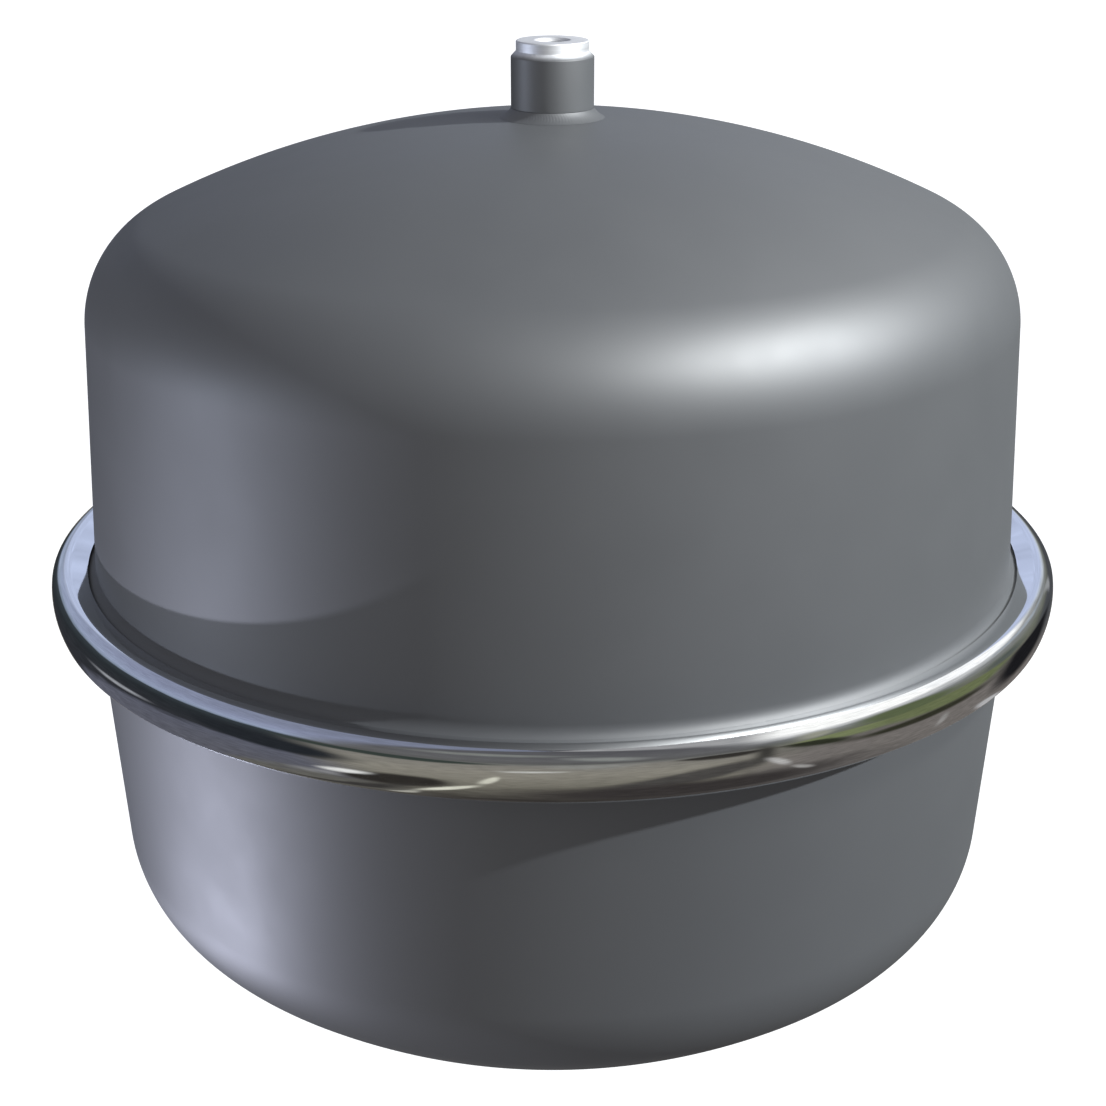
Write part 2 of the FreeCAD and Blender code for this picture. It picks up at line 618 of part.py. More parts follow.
def valve_body():
    """Brass charging valve: tail in the boss, hexagon, charging end, and a
    bore with the conical seat of the valve core."""
    body = new_body("valve_body")
    sketch = new_sketch(body, "collar_section", "XY_Plane")
    sketch.setExpression(".AttachmentOffset.Base.z", expand("boss_out + seat_gap"))
    hexagon(sketch, "collar_flats")
    collar = body.newObject("PartDesign::Pad", "collar")
    collar.Profile = sketch
    collar.setExpression("Length", expand("collar_height - seat_gap"))
    turned(body, "valve_turning", [
        ("0", "boss_out - valve_tail_length"),
        ("valve_tail_radius - valve_edge", "boss_out - valve_tail_length"),
        ("valve_tail_radius", "boss_out - valve_tail_length + valve_edge"),
        ("valve_tail_radius", "boss_out + collar_height / 2"),
        ("valve_radius", "boss_out + collar_height / 2"),
        ("valve_radius", f"{CHARGING_END} - valve_edge"),
        ("valve_radius - valve_edge", CHARGING_END),
        ("0", CHARGING_END),
    ])
    turned(body, "valve_bore", [
        ("0", "boss_out - valve_tail_length"),
        (GAS_BORE, "boss_out - valve_tail_length"),
        (GAS_BORE, SEAT_END),
        ("core_head_radius + seat_gap", SEAT_TOP),
        ("core_head_radius + seat_gap", CHARGING_END),
        ("0", CHARGING_END),
    ], "PartDesign::Groove")
    return stand(body, f"-{VALVE_LEVEL}", TURN_OVER)


def valve_seal():
    """Flat rubber seal in the boss, under the valve's hexagon."""
    body = new_body("valve_seal")
    turned(body, "seal_turning", [
        ("valve_tail_radius + seat_gap", "boss_out - seal_height"),
        ("valve_tail_radius + seal_width", "boss_out - seal_height"),
        ("valve_tail_radius + seal_width", "boss_out"),
        ("valve_tail_radius + seat_gap", "boss_out"),
    ])
    return stand(body, f"-{VALVE_LEVEL}", TURN_OVER)


def core_head():
    """Threaded head of the valve core, slotted for its key, with a socket in
    which the barrel can swivel while the head is screwed in."""
    socket = f"({CORE_HEAD_END} + core_socket)"
    body = new_body("core_head")
    turned(body, "head_turning", [
        ("core_neck_radius + seat_gap", CORE_HEAD_END),
        ("core_head_radius", CORE_HEAD_END),
        ("core_head_radius", CORE_TOP),
        ("core_chamber_radius", CORE_TOP),
        ("core_chamber_radius", socket),
        ("core_neck_radius + seat_gap", socket),
    ])
    sketch = new_sketch(body, "key_slot_section")
    closed_outline(sketch, [
        ("-key_slot_width / 2", f"{CORE_TOP} - key_slot_depth"),
        ("key_slot_width / 2", f"{CORE_TOP} - key_slot_depth"),
        ("key_slot_width / 2", CORE_TOP),
        ("-key_slot_width / 2", CORE_TOP),
    ])
    slot = body.newObject("PartDesign::Pocket", "key_slot")
    slot.Profile = sketch
    slot.Type = "ThroughAll"
    slot.Midplane = True
    return stand(body, f"-{VALVE_LEVEL}", TURN_OVER)


def core_barrel():
    """Thin barrel that holds the spring and ends in the sealing face."""
    top = f"({CORE_HEAD_END} + core_socket - seat_gap)"
    chamber_end = f"({CORE_END} + core_floor)"
    body = new_body("core_barrel")
    turned(body, "barrel_turning", [
        ("core_port_radius", CORE_END),
        ("core_neck_radius", CORE_END),
        ("core_neck_radius", top),
        ("core_chamber_radius", top),
        ("core_chamber_radius", chamber_end),
        ("core_port_radius", chamber_end),
    ])
    return stand(body, f"-{VALVE_LEVEL}", TURN_OVER)


def core_gasket():
    """Ring on the barrel that seals on the valve's conical seat."""
    bore = "(core_neck_radius + seat_gap)"
    top = f"({SEAT_END} + gasket_height)"
    body = new_body("core_gasket")
    turned(body, "gasket_turning", [
        (bore, SEAT_END),
        (f"{GAS_BORE} - 2 * seat_gap", SEAT_END),
        ("core_head_radius - seat_gap", SEAT_TOP),
        ("core_head_radius - seat_gap", top),
        (bore, top),
    ])
    return stand(body, f"-{VALVE_LEVEL}", TURN_OVER)


def core_pin():
    """Pin that a gauge presses: button, collar for the spring, and an end
    riveted over the cup."""
    tip = f"({CHARGING_END} - pin_recess)"
    end = f"({CUP_TOP} - cup_height - pin_tail)"
    body = new_body("core_pin")
    turned(body, "pin_turning", [
        ("0", end),
        ("pin_radius", end),
        ("pin_radius", PIN_COLLAR),
        ("pin_collar_radius", PIN_COLLAR),
        ("pin_collar_radius", f"{PIN_COLLAR} + pin_collar_height"),
        ("pin_radius", f"{PIN_COLLAR} + pin_collar_height"),
        ("pin_radius", f"{tip} - pin_head_height"),
        ("pin_head_radius", f"{tip} - pin_head_height"),
        ("pin_head_radius", tip),
        ("0", tip),
    ])
    return stand(body, f"-{VALVE_LEVEL}", TURN_OVER)


def core_cup():
    """Brass cup on the pin's inner end."""
    floor = f"({CUP_TOP} - cup_height)"
    bore = "(pin_radius + seat_gap)"
    body = new_body("core_cup")
    turned(body, "cup_turning", [
        (bore, floor),
        ("cup_radius", floor),
        ("cup_radius", CUP_TOP),
        ("cup_radius - cup_wall", CUP_TOP),
        ("cup_radius - cup_wall", f"{floor} + cup_wall"),
        (bore, f"{floor} + cup_wall"),
    ])
    return stand(body, f"-{VALVE_LEVEL}", TURN_OVER)


def core_washer():
    """Rubber washer in the cup, held against the barrel's end."""
    floor = f"({CUP_TOP} - cup_height + cup_wall + seat_gap)"
    bore = "(pin_radius + seat_gap)"
    rim = "(cup_radius - cup_wall - seat_gap)"
    body = new_body("core_washer")
    turned(body, "washer_turning", [
        (bore, floor),
        (rim, floor),
        (rim, f"{CORE_END} - seat_gap"),
        (bore, f"{CORE_END} - seat_gap"),
    ])
    return stand(body, f"-{VALVE_LEVEL}", TURN_OVER)


def core_spring():
    """Coil spring between the barrel's end wall and the pin's collar."""
    start = f"({CORE_END} + core_floor + seat_gap + spring_wire_radius)"
    body = new_body("core_spring")
    sketch = new_sketch(body, "wire_section")
    wire = number("spring_wire_radius")
    centre = spot("spring_mean_radius", start)
    circle = sketch.addGeometry(Part.Circle(centre, VECTOR(0, 0, 1), wire))
    place_point(sketch, circle, 3, "spring_mean_radius", start)
    bind(sketch, "Radius", (circle,), "spring_wire_radius")
    coil = body.newObject("PartDesign::AdditiveHelix", "coil")
    coil.Profile = sketch
    coil.ReferenceAxis = (sketch, ["V_Axis"])
    coil.Mode = "height-turns-angle"
    height = f"{PIN_COLLAR} - seat_gap - spring_wire_radius - {start}"
    coil.Height = number(height)
    coil.Turns = number("spring_turns")
    coil.setExpression("Height", expand(height))
    coil.setExpression("Turns", expand("spring_turns"))
    return stand(body, f"-{VALVE_LEVEL}", TURN_OVER)


def valve_cap():
    """Plastic cap screwed over the charging end, fluted for the fingers."""
    mouth = f"({CAP_CEILING} - cap_skirt)"
    end = f"({CAP_CEILING} + cap_roof)"
    body = new_body("valve_cap")
    turned(body, "cap_turning", [
        ("valve_radius + cap_gap", mouth),
        ("cap_radius", mouth),
        ("cap_radius", f"{end} - cap_edge"),
        ("cap_radius - cap_edge", end),
        ("0", end),
        ("0", CAP_CEILING),
        ("valve_radius + cap_gap", CAP_CEILING),
    ])
    sketch = new_sketch(body, "flute_section", "XY_Plane")
    sketch.setExpression(".AttachmentOffset.Base.z", expand(CAP_CEILING))
    centre = VECTOR(number("cap_radius"), 0, 0)
    circle = sketch.addGeometry(Part.Circle(centre, VECTOR(0, 0, 1), number("cap_flute_radius")))
    place_point(sketch, circle, 3, "cap_radius", "0")
    bind(sketch, "Radius", (circle,), "cap_flute_radius")
    flute = body.newObject("PartDesign::Pocket", "flute")
    flute.Profile = sketch
    flute.Length = number("2 * cap_skirt")
    flute.setExpression("Length", expand("2 * cap_skirt"))
    around = body.newObject("PartDesign::PolarPattern", "flutes")
    around.Originals = [flute]
    around.Axis = (sketch, ["N_Axis"])
    around.Angle = 360
    around.Occurrences = int(number("cap_flutes"))
    around.setExpression("Occurrences", expand("cap_flutes"))
    body.Tip = around
    return stand(body, f"-{VALVE_LEVEL}", TURN_OVER)


def cap_seal():
    """Rubber disc between the cap and the charging end."""
    disc = DOC.addObject("Part::Cylinder", "cap_seal")
    disc.Label = "cap_seal"
    disc.setExpression("Radius", expand("valve_radius"))
    disc.setExpression("Height", expand("cap_seal_height"))
    return stand(disc, f"-({VALVE_LEVEL} + {CHARGING_END} + seat_gap)", TURN_OVER)


PIECES = [
    upper_shell, lower_shell, diaphragm, clamp_ring, connection_nipple, nipple_weld,
    valve_boss, valve_boss_weld, valve_body, valve_seal, core_head, core_barrel, core_gasket,
    core_pin, core_cup, core_washer, core_spring, valve_cap, cap_seal,
]


def check_cut(body, before, after):
    """A cut feature has to take material away."""
    if after >= before:
        raise RuntimeError(f"{body} lost nothing to its cut")


def check_document(pieces):
    """No failed object, and each piece one valid closed solid."""
    for item in DOC.Objects:
        if "Invalid" in item.State or "Error" in item.State:
            raise RuntimeError(f"{item.Name} failed: {item.State}")
    for piece in pieces:
        shape = piece.Shape
        if shape.isNull() or not shape.isValid() or len(shape.Solids) != 1:
            raise RuntimeError(f"{piece.Label} is not one valid solid")
    check_cut("valve_body", DOC.valve_turning.Shape.Volume, DOC.valve_bore.Shape.Volume)
    check_cut("core_head", DOC.head_turning.Shape.Volume, DOC.key_slot.Shape.Volume)
    check_cut("valve_cap", DOC.cap_turning.Shape.Volume, DOC.flutes.Shape.Volume)


def main():
    """Builds every piece and writes one file for each."""
    fill_sheet()
    pieces = [make() for make in PIECES]
    DOC.recompute()
    check_document(pieces)
    os.makedirs("parts", exist_ok=True)
    for piece in pieces:
        piece.Shape.exportStep(f"parts/{piece.Label}.step")
        print(piece.Label, round(piece.Shape.Volume, 2))


main()
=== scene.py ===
# %% [markdown]
# # A diaphragm expansion tank
#
# A closed heating system needs somewhere for its water to go as it warms up.
# This tank is that place: two drawn steel shells with a rubber diaphragm
# between them, held at the rim by a bright rolled ring. Water comes in through
# the stub on top, and gas is pumped in through a small valve underneath.
#
# The solids are already made and packed as a frame. This lesson gives them
# their finish: surfaces that are smooth enough to mirror a yard, paint, chrome,
# turned steel, a thread, and the light and camera that show them.

# %% Load the frame
import json
import math

import bmesh
import bpy
import numpy as np
from mathutils import Matrix, Vector


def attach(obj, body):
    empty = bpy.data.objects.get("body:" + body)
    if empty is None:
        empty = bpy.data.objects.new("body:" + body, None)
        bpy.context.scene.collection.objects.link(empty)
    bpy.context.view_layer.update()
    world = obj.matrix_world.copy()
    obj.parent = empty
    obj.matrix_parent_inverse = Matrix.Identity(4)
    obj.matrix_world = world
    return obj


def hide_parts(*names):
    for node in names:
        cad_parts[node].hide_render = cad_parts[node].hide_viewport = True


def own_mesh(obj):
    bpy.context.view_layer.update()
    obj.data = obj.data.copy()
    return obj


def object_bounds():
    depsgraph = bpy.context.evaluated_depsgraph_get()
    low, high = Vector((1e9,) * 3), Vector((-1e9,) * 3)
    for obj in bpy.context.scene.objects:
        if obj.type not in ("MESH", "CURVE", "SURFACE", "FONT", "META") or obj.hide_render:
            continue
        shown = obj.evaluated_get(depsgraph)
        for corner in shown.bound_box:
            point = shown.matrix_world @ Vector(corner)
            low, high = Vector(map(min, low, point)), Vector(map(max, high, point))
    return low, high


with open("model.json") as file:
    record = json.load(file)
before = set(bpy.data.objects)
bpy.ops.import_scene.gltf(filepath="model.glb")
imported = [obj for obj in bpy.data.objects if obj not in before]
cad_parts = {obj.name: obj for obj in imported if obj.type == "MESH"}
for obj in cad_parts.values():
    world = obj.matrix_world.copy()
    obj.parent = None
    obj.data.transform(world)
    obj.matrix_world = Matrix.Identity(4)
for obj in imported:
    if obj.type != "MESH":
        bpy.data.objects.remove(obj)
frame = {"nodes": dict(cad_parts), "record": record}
CAD_BOX = [list(corner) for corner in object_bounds()]
MM = 0.001
print("nodes:", len(frame["nodes"]), "box:", CAD_BOX)

# %% [markdown]
# ## The camera
#
# The picture was taken from close by, a little above the tank, and level from
# side to side. Close means strong perspective: the top of the ring looks much
# flatter than its front. So the distance and the height matter as much as the
# direction, and all three were worked out from the outlines of the shells.

# %% Camera
CAMERA_DISTANCE = 648.3 * MM
CAMERA_HEIGHT = 84.6 * MM
CAMERA_PITCH = math.radians(21.295)
FOCAL_LENGTH = 65.58
SENSOR = 36.0
PICTURE = 1106
AXIS_COLUMN = 552.5


def add_camera():
    """A level camera in front of the tank that looks down by the pitch. A
    small shift puts the tank's axis on its column of the picture."""
    data = bpy.data.cameras.new("picture_camera")
    data.lens = FOCAL_LENGTH
    data.sensor_width = SENSOR
    data.shift_x = 0.5 - AXIS_COLUMN / PICTURE
    camera = bpy.data.objects.new("picture_camera", data)
    camera.location = (0, -CAMERA_DISTANCE, CAMERA_HEIGHT)
    camera.rotation_euler = (math.pi / 2 - CAMERA_PITCH, 0, 0)
    bpy.context.scene.collection.objects.link(camera)
    bpy.context.scene.camera = camera
    return camera


print("camera at", tuple(add_camera().location))

# %% [markdown]
# ## Light from a studio
#
# Three far lights do the modelling. A white one stands on the right and throws
# the ring's shadow on the lower shell. A bluish one comes from low on the left
# and throws the ring's shadow upwards. A weaker one beside it is nearly level
# with the ring and reaches into that shadow. The two on the left only make
# sheen. A soft panel makes the long highlight on the shoulder.

# %% Lights
def towards(azimuth, elevation):
    """Unit direction from the tank to a light. The azimuth is counted from the
    camera's side towards the right, and both angles are in degrees."""
    a = math.radians(azimuth)
    e = math.radians(elevation)
    return np.array([math.sin(a) * math.cos(e), -math.cos(a) * math.cos(e), math.sin(e)])


def aim(item, direction):
    """Turns a light so that it shines against the direction it stands in."""
    item.rotation_euler = Vector(direction).to_track_quat("Z", "Y").to_euler()


def add_sun(name, azimuth, elevation, colour, strength, spread):
    """A far light with parallel rays. Spread is its size in degrees."""
    data = bpy.data.lights.new(name, "SUN")
    data.color = colour
    data.energy = strength
    data.angle = math.radians(spread)
    light = bpy.data.objects.new(name, data)
    aim(light, towards(azimuth, elevation))
    bpy.context.scene.collection.objects.link(light)
    return light


def add_panel(name, target, azimuth, elevation, distance, size, colour, power):
    """A rectangular soft light that faces a target point from a direction."""
    data = bpy.data.lights.new(name, "AREA")
    data.shape = "RECTANGLE"
    data.size, data.size_y = size
    data.color = colour
    data.energy = power
    light = bpy.data.objects.new(name, data)
    light.location = np.array(target) + towards(azimuth, elevation) * distance
    aim(light, towards(azimuth, elevation))
    bpy.context.scene.collection.objects.link(light)
    return light


SHOULDER = (0.0565, -0.1268, -0.0599)
key = add_sun("key", 78, 30, colour=(0.89, 0.94, 1.0), strength=2.82, spread=1.5)
low_sheen = add_sun("low_sheen", -98, -38, colour=(0.77, 0.80, 1.0), strength=3.53, spread=1.5)
level_sheen = add_sun("level_sheen", -82, -6, colour=(0.73, 0.81, 1.0), strength=1.78, spread=3.0)
shoulder_panel = add_panel("shoulder_panel", SHOULDER, 62, 44, distance=0.6, size=(0.45, 0.05),
                           colour=(0.957, 0.99, 1.0), power=20.7)
LAMPS = (key, low_sheen, level_sheen, shoulder_panel)
for light in (low_sheen, level_sheen, shoulder_panel):
    light.visible_diffuse = False
shoulder_panel.visible_camera = False
print("lights:", [light.name for light in LAMPS])

# %% [markdown]
# ## Nodes from Python
#
# The look of a material, a lamp or the room is a small network of nodes. They
# could be linked by hand in the editor, but then the reason for each would be
# lost. So a helper adds a node, sets its values and links its inputs in one
# call, and six more make what is needed often, such as a ramp, a smooth step
# and a soft oval of light.

# %% Helpers for node trees
def node_maker(tree):
    """Returns a function that adds a node, sets its values and links inputs.
    Inputs are given as name or number: a socket to link, or a plain value."""
    def make(kind, inputs=None, **settings):
        node = tree.nodes.new(kind)
        for name, setting in settings.items():
            setattr(node, name, setting)
        for name, source in (inputs or {}).items():
            if isinstance(source, bpy.types.NodeSocket):
                tree.links.new(source, node.inputs[name])
            else:
                node.inputs[name].default_value = source
        return node
    return make


def ramp(make, factor, stops):
    """A colour ramp with the given (place, colour) stops."""
    node = make("ShaderNodeValToRGB", {"Fac": factor})
    points = node.color_ramp.elements
    while len(points) < len(stops):
        points.new(0.5)
    for point, (place, colour) in zip(points, stops):
        point.position = place
        point.color = (*colour, 1)
    return node.outputs["Color"]


def mix(make, factor, first, second):
    """A colour between two, by a factor from 0 to 1."""
    return make("ShaderNodeMix", {0: factor, 6: first, 7: second}, data_type="RGBA").outputs[2]


def between(make, value, low, high):
    """How far a value has come from low to high, as a smooth step."""
    return make("ShaderNodeMapRange", {"Value": value, "From Min": low, "From Max": high},
                interpolation_type="SMOOTHSTEP").outputs["Result"]


def calculate(make, operation, *values):
    """The result of one step of arithmetic on sockets or numbers."""
    return make("ShaderNodeMath", dict(enumerate(values)), operation=operation).outputs[0]


def remap(make, value, low, high, start=0.0, end=1.0):
    """Maps a value from the range start to end onto the range low to high."""
    return make("ShaderNodeMapRange", {
        "Value": value, "From Min": start, "From Max": end, "To Min": low, "To Max": high,
    }).outputs["Result"]


NO_LIMIT = 1e4


def bright_patch(make, direction, behind, azimuth, elevation, width, height, tilt, softness, colour):
    """Lays a soft oval of light over what lies behind it. The direction is
    turned so that the oval's centre is on the local X axis, its Y and Z are
    divided by the half width and half height, and the light fades with their
    distance from the centre, over a share of the oval that is its softness.
    The opposite side of the room is kept out."""
    centre = Vector(towards(azimuth, elevation))
    frame_of_oval = centre.to_track_quat("X", "Z").to_matrix()
    turn = frame_of_oval @ Matrix.Rotation(math.radians(tilt), 3, "X")
    local = make("ShaderNodeMapping", {
        "Vector": direction, "Rotation": tuple(turn.to_euler()),
        "Scale": (NO_LIMIT, math.sin(math.radians(width)), math.sin(math.radians(height))),
    }, vector_type="TEXTURE").outputs["Vector"]
    fade = make("ShaderNodeTexGradient", {"Vector": local}, gradient_type="SPHERICAL").outputs["Fac"]
    ahead = make("ShaderNodeVectorMath", {0: direction, 1: tuple(centre)},
                 operation="DOT_PRODUCT").outputs["Value"]
    same_side = between(make, ahead, 0.2, 0.4)
    shown = calculate(make, "MULTIPLY", same_side, between(make, fade, 0.0, softness))
    return mix(make, shown, behind, (*colour, 1))


# %% [markdown]
# ## A flag for the panel
#
# In a studio a flag, a small black board, keeps a lamp's light off what it
# shouldn't reach. Here the panel would glare on the top of the dome when the
# tank is seen from behind, so its light ends just past the shoulder.

# %% Flag
def add_flag(light, full, gone):
    """Fades a light with the length of its rays, from full strength at one
    distance to nothing at another."""
    light.data.use_nodes = True
    make = node_maker(light.data.node_tree)
    length = make("ShaderNodeLightPath").outputs["Ray Length"]
    strength = make("ShaderNodeMapRange", {
        "Value": length, "From Min": full, "From Max": gone, "To Min": 1.0, "To Max": 0.0,
    }, interpolation_type="SMOOTHSTEP").outputs["Result"]
    emission = next(node for node in light.data.node_tree.nodes if node.type == "EMISSION")
    light.data.node_tree.links.new(strength, emission.inputs["Strength"])


add_flag(shoulder_panel, full=0.66, gone=0.76)
print("flag on:", shoulder_panel.name)

# %% [markdown]
# ## What the ring mirrors
#
# Satin paint needs even light from all sides, but a polished ring needs
# something to mirror: in an empty room it would be a white hoop. Here it
# mirrors a yard. Most of what it shows is a few things that stand out from
# their background, such as a cloud, a tree, a puddle or a hose. Each is a
# soft oval, or a chain of ovals, in some direction.

# %% Patches of the yard
# azimuth, elevation, half width, half height, tilt, softness, colour
PATCHES = [
    (-18, 54, 20, 12, 20, 0.8, (0.22, 0.23, 0.22)),  # thin cloud in front
    (12, 30, 9, 22, 15, 0.8, (0.26, 0.27, 0.26)),  # another
    (108, 52, 46, 17, 0, 0.4, (1.12, 1.12, 1.10)),  # sunlit cloud, right
    (142, 37, 26, 11, -14, 0.4, (1.10, 1.11, 1.12)),  # its far end
    (134, 23, 20, 5, -25, 0.8, (0.36, 0.40, 0.45)),  # sky beneath it
    (57, 16, 6, 26, -10, 0.8, (0.34, 0.34, 0.28)),  # gap between two trees
    (80, 8, 17, 30, 0, 0.5, (0.110, 0.135, 0.070)),  # tree, right
    (150, -8, 30, 22, 0, 0.5, (0.070, 0.074, 0.082)),  # house behind, right
    (143, 6, 3, 13, -8, 0.7, (0.32, 0.33, 0.34)),  # its pale door frame
    (112, 0, 13, 16, 0, 0.8, (0.10, 0.115, 0.105)),  # its hedge
    (166, 20, 18, 12, 0, 0.7, (0.66, 0.72, 0.80)),  # pale sky behind, right
    (-155, 10, 16, 9, 0, 0.8, (0.35, 0.41, 0.55)),  # pale sky behind, left
    (180, 24, 26, 17, 0, 0.4, (0.52, 0.59, 0.80)),  # and between the two
    (-36, -2, 30, 10, -6, 0.4, (0.040, 0.052, 0.046)),  # trees in front
    (-64, -22, 25, 11, -4, 0.5, (0.019, 0.022, 0.027)),  # their shade
    (8, -8, 15, 10, 0, 0.8, (0.26, 0.26, 0.245)),  # gap in the trees
    (35, -8, 12, 8, -12, 0.4, (0.036, 0.033, 0.030)),  # shed
    (33, -38, 27, 10, 52, 0.5, (0.072, 0.068, 0.064)),  # its shadow on the ground
    (45, -14, 3.5, 32, 4, 0.9, (0.046, 0.044, 0.040)),  # post
    (64, -11, 17, 8, -22, 0.4, (0.190, 0.220, 0.110)),  # grass, near
    (94, -15, 27, 10, -2, 0.4, (0.150, 0.175, 0.085)),  # grass, far
    (57, -16, 17, 4.0, -38, 0.6, (0.030, 0.033, 0.021)),  # its edge
    (90, -26, 30, 4.5, 2, 0.6, (0.034, 0.034, 0.023)),  # its far edge
    (131, -21, 17, 14, 0, 0.5, (0.012, 0.012, 0.014)),  # doorway
    (142, -35, 14, 2.2, 8, 0.6, (0.50, 0.50, 0.51)),  # its step
    (-112, -24, 15, 2.4, -4, 0.8, (0.34, 0.35, 0.38)),  # wet kerb, left
    (-64, -49, 13, 4, 15, 0.9, (0.23, 0.23, 0.24)),  # wet paving
    (-40, -46, 15, 10, 30, 0.4, (0.030, 0.027, 0.024)),  # dark slab
    (-80, -63, 32, 4.0, 8, 0.6, (0.046, 0.043, 0.041)),  # its far end
    (-52, -42, 8.5, 3.6, 22, 0.7, (0.84, 0.84, 0.82)),  # puddle
    (42, -60, 38, 20, 5, 0.6, (0.042, 0.037, 0.036)),  # shade under the tank
    (-14.5, -35.5, 9.5, 1.7, 73, 0.6, (0.72, 0.71, 0.60)),  # hose, near end
    (-29, -53.5, 14.5, 2.0, 47, 0.6, (0.74, 0.73, 0.62)),  # its middle
    (-62, -67.5, 12, 1.8, 32, 0.6, (0.42, 0.41, 0.36)),  # its far end
    (-4, -19, 10, 2.0, 5, 0.8, (0.58, 0.58, 0.55)),  # pale step
    (52, -32, 12.5, 2.1, -59, 0.7, (0.50, 0.49, 0.48)),  # kerb, right
    (68, -46.5, 8.5, 1.5, -38, 0.7, (0.36, 0.35, 0.34)),  # its bend
    (107, -36, 9, 1.5, -45, 0.7, (0.30, 0.29, 0.28)),  # another
]
print("patches:", len(PATCHES))

# %% [markdown]
# ## The yard behind the patches
#
# The background is three sectors, for the left, the middle and the right. The
# colours of each run from the ground to the sky. A place in the yard is told
# by its height and by how far its bearing lies to the right, so there is no
# seam behind the tank where the circle closes.

# %% Sectors of the yard
LEFT = [
    (0.00, (0.050, 0.045, 0.042)), (0.06, (0.13, 0.125, 0.11)), (0.10, (0.125, 0.122, 0.112)),
    (0.12, (0.11, 0.112, 0.135)), (0.25, (0.112, 0.117, 0.152)), (0.275, (0.030, 0.032, 0.038)),
    (0.40, (0.024, 0.029, 0.034)), (0.57, (0.040, 0.050, 0.058)), (0.60, (0.22, 0.27, 0.35)),
    (0.66, (0.33, 0.38, 0.53)), (0.80, (0.27, 0.30, 0.43)), (1.00, (0.20, 0.22, 0.30)),
]
MIDDLE = [
    (0.00, (0.036, 0.032, 0.030)), (0.05, (0.080, 0.074, 0.064)), (0.13, (0.18, 0.17, 0.14)),
    (0.30, (0.265, 0.250, 0.213)), (0.44, (0.22, 0.21, 0.19)), (0.49, (0.17, 0.17, 0.16)),
    (0.56, (0.11, 0.11, 0.11)), (0.70, (0.13, 0.13, 0.135)), (1.00, (0.10, 0.10, 0.11)),
]
RIGHT = [
    (0.00, (0.045, 0.040, 0.037)), (0.08, (0.10, 0.092, 0.088)), (0.16, (0.175, 0.160, 0.150)),
    (0.28, (0.185, 0.168, 0.158)), (0.36, (0.12, 0.115, 0.105)), (0.44, (0.15, 0.155, 0.120)),
    (0.56, (0.17, 0.18, 0.150)), (0.68, (0.24, 0.25, 0.25)), (0.76, (0.60, 0.61, 0.62)),
    (1.00, (0.34, 0.34, 0.35)),
]
LEFT_ENDS = (-0.90, -0.66)
RIGHT_BEGINS = (0.62, 0.88)
HORIZON_WAVE = 0.16


def sectors(make, direction, level):
    """The three sectors by the bearing, which is the direction laid flat and
    made one long. Behind the tank the middle one gets narrower."""
    flat = make("ShaderNodeVectorMath", {0: direction, 1: (1, 1, 0)}, operation="MULTIPLY").outputs["Vector"]
    bearing = make("ShaderNodeVectorMath", {0: flat}, operation="NORMALIZE").outputs["Vector"]
    sides = make("ShaderNodeSeparateXYZ", {"Vector": bearing})
    aside = calculate(make, "MULTIPLY", sides.outputs["X"], remap(make, sides.outputs["Y"], 1.0, 2.2))
    left, middle, right = (ramp(make, level, stops) for stops in (LEFT, MIDDLE, RIGHT))
    yard = mix(make, between(make, aside, *LEFT_ENDS), left, middle)
    return mix(make, between(make, aside, *RIGHT_BEGINS), yard, right)


def yard_seen(make, direction, height):
    """Sectors with an uneven horizon, the patches on them, and a mottle."""
    stretched = make("ShaderNodeMapping", {"Vector": direction, "Scale": (2.0, 2.0, 7.0)}).outputs["Vector"]
    clumps = make("ShaderNodeTexNoise", {"Vector": stretched, "Scale": 1.8, "Detail": 6.0}).outputs["Fac"]
    uneven = calculate(make, "MULTIPLY_ADD", clumps, HORIZON_WAVE, height)
    level = remap(make, uneven, 0.0, 1.0, HORIZON_WAVE / 2 - 1, HORIZON_WAVE / 2 + 1)
    yard = sectors(make, direction, level)
    for patch in PATCHES:
        yard = bright_patch(make, direction, yard, *patch)
    mottled = make("ShaderNodeTexNoise", {"Vector": stretched, "Scale": 9.0, "Detail": 4.0}).outputs["Fac"]
    mottle = remap(make, mottled, 0.80, 1.20, 0.3, 0.7)
    grain = make("ShaderNodeCombineXYZ", {0: mottle, 1: mottle, 2: mottle}).outputs[0]
    return make("ShaderNodeVectorMath", {0: yard, 1: grain}, operation="MULTIPLY").outputs["Vector"]


print("stops:", len(LEFT), len(MIDDLE), len(RIGHT))

# %% [markdown]
# ## Three faces of the room
#
# The camera sees plain white, as in a catalogue. Mirrors see the yard. Matt
# surfaces receive a soft grey that is worked out, because they blur what is
# round them so much that only its slopes matter.

# %% The room
SOFT = {
    "even": 0.154, "across": -0.059, "depth": -0.161, "height": 0.022, "across depth": 0.134,
    "across height": -0.251, "depth height": 0.016, "across across": -0.033, "height height": 0.075,
}
SOFT_BEHIND = 0.24
SOFT_COLOUR = (1.0, 0.988, 1.034)


